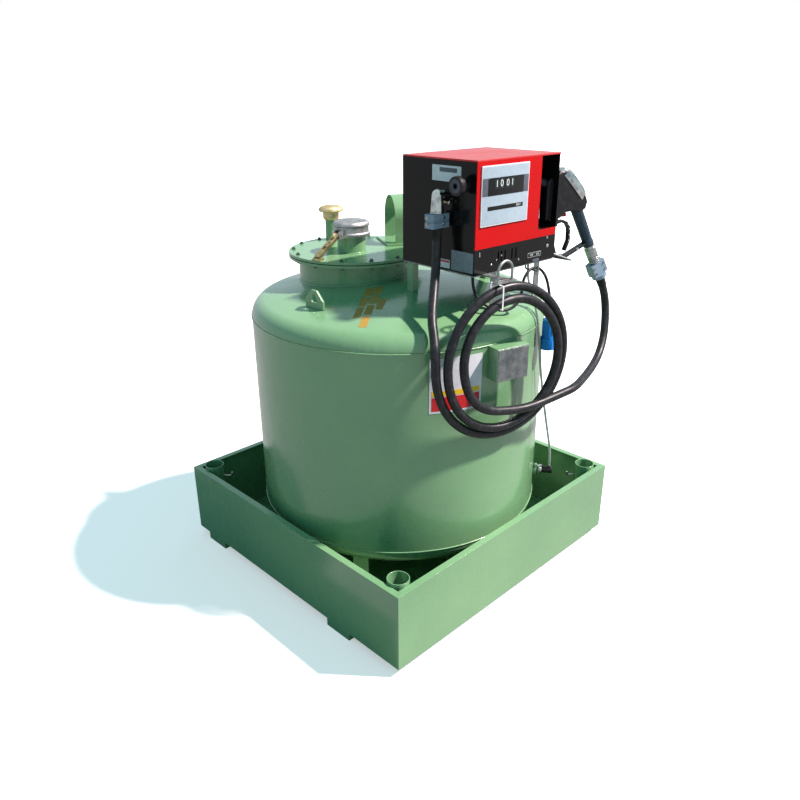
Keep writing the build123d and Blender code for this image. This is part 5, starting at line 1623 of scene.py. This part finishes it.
class Dress:
    """Gives every CAD node its finish and, where it helps, softened edges."""

    NODES_IN_FINISH = {
        "green": ("basin_floor", "basin_wall_front", "basin_wall_right", "basin_wall_back",
                  "basin_wall_left", "basin_feet", "pole_sockets", "tank_shell",
                  "tank_top_head", "tank_bottom_head", "tank_legs", "lifting_lugs",
                  "manway_neck", "manway_cover", "filler_pipe", "vent_pipe", "hood_plate",
                  "fitting_hood", "pump_posts", "nameplate_bracket", "gauge_boss"),
        "zinc": ("socket_hooks", "nozzle_swivel", "gauge_nut"),
        "passivated": ("filler_lock_bar", "lock_staple"),
        "galvanised": ("pump_struts", "pump_shelf", "hose_hanger", "nozzle_rest"),
        "rubber": ("manway_gasket",),
        "cast": ("filler_cap",),
        "brass": ("vent_cap",),
        "black": ("pump_base", "pump_body"),
        "red": ("pump_front_panel",),
        "dimpled": ("pump_lid",),
        "label": ("meter_plate",),
        "plastic": ("filter_knob", "nozzle_holster", "nozzle_body", "gauge_elbow",
                    "nozzle_guard", "nozzle_trigger", "cord_gland"),
        "bright": ("outlet_elbow",),
        "bluish": ("nozzle_spout",),
        "clamp": ("pump_hose_clamp", "nozzle_hose_clamp"),
        "grip": ("nozzle_handle",),
        "hose": ("hose_drop", "hose_coil", "hose_tail", "power_cord"),
        "blue": ("power_plug",),
        "white": ("cable_tie",),
        "brushed": ("nameplate",),
        "tube": ("gauge_tube",),
    }
    NODES_WITH_EDGE = {
        0.3: ("pump_base", "pump_body"),
        0.4: ("nameplate", "cable_tie"),
        0.6: ("fitting_hood", "vent_cap"),
        0.8: ("pole_sockets", "pump_shelf", "pump_front_panel", "meter_plate", "filler_cap",
              "hose_hanger"),
        0.9: ("pump_posts", "pump_struts"),
        1.0: ("basin_feet", "tank_legs", "nameplate_bracket"),
        1.2: ("manway_neck", "filler_lock_bar", "lock_staple", "pump_hose_clamp",
              "nozzle_hose_clamp", "filter_knob"),
        1.4: ("lifting_lugs", "hood_plate", "pump_lid"),
        1.5: ("nozzle_body", "nozzle_trigger"),
        1.6: ("basin_wall_front", "basin_wall_right", "basin_wall_back", "basin_wall_left",
              "manway_cover"),
        2.0: ("nozzle_holster", "nozzle_guard"),
    }

    WELD_REACH = 0.01
    EDGE_ANGLE = 40.0
    NORMAL_WEIGHT = 80

    def build(self) -> None:
        """Dress all the nodes."""
        widths = {name: width for width, names in self.NODES_WITH_EDGE.items()
                  for name in names}
        for finish, names in self.NODES_IN_FINISH.items():
            for name in names:
                self.dress(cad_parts[name], finish, widths.get(name))

    def dress(self, node: bpy.types.Object, finish: str, width: float | None) -> None:
        """Dress one node.

        Args:
            node: The CAD node's object.
            finish: Key of its finish.
            width: Width of its softened edges in millimetres, if it has them.
        """
        node.data.materials.clear()
        node.data.materials.append(MATERIALS[finish])
        node.data.shade_smooth()
        node.modifiers.new("weld", "WELD").merge_threshold = self.WELD_REACH * MM
        if width is not None:
            bevel = node.modifiers.new("bevel", "BEVEL")
            bevel.width = width * MM
            bevel.segments = 2
            bevel.limit_method = "ANGLE"
            bevel.angle_limit = math.radians(self.EDGE_ANGLE)
            bevel.use_clamp_overlap = True
        weigh = node.modifiers.new("normals", "WEIGHTED_NORMAL")
        weigh.keep_sharp = False
        weigh.weight = self.NORMAL_WEIGHT


def main() -> None:
    """Build the scene in order."""
    logging.basicConfig(level=logging.INFO, format="%(name)s %(message)s")
    for assembly in (Camera(), Studio(), Cords(), Cover(), MeterFace(), CabinetDetails(),
                     OutletDetails(), NozzleDetails(), ShellFilms(), PlugDetails(), Dress()):
        assembly.build()


if __name__ == "__main__":
    main()
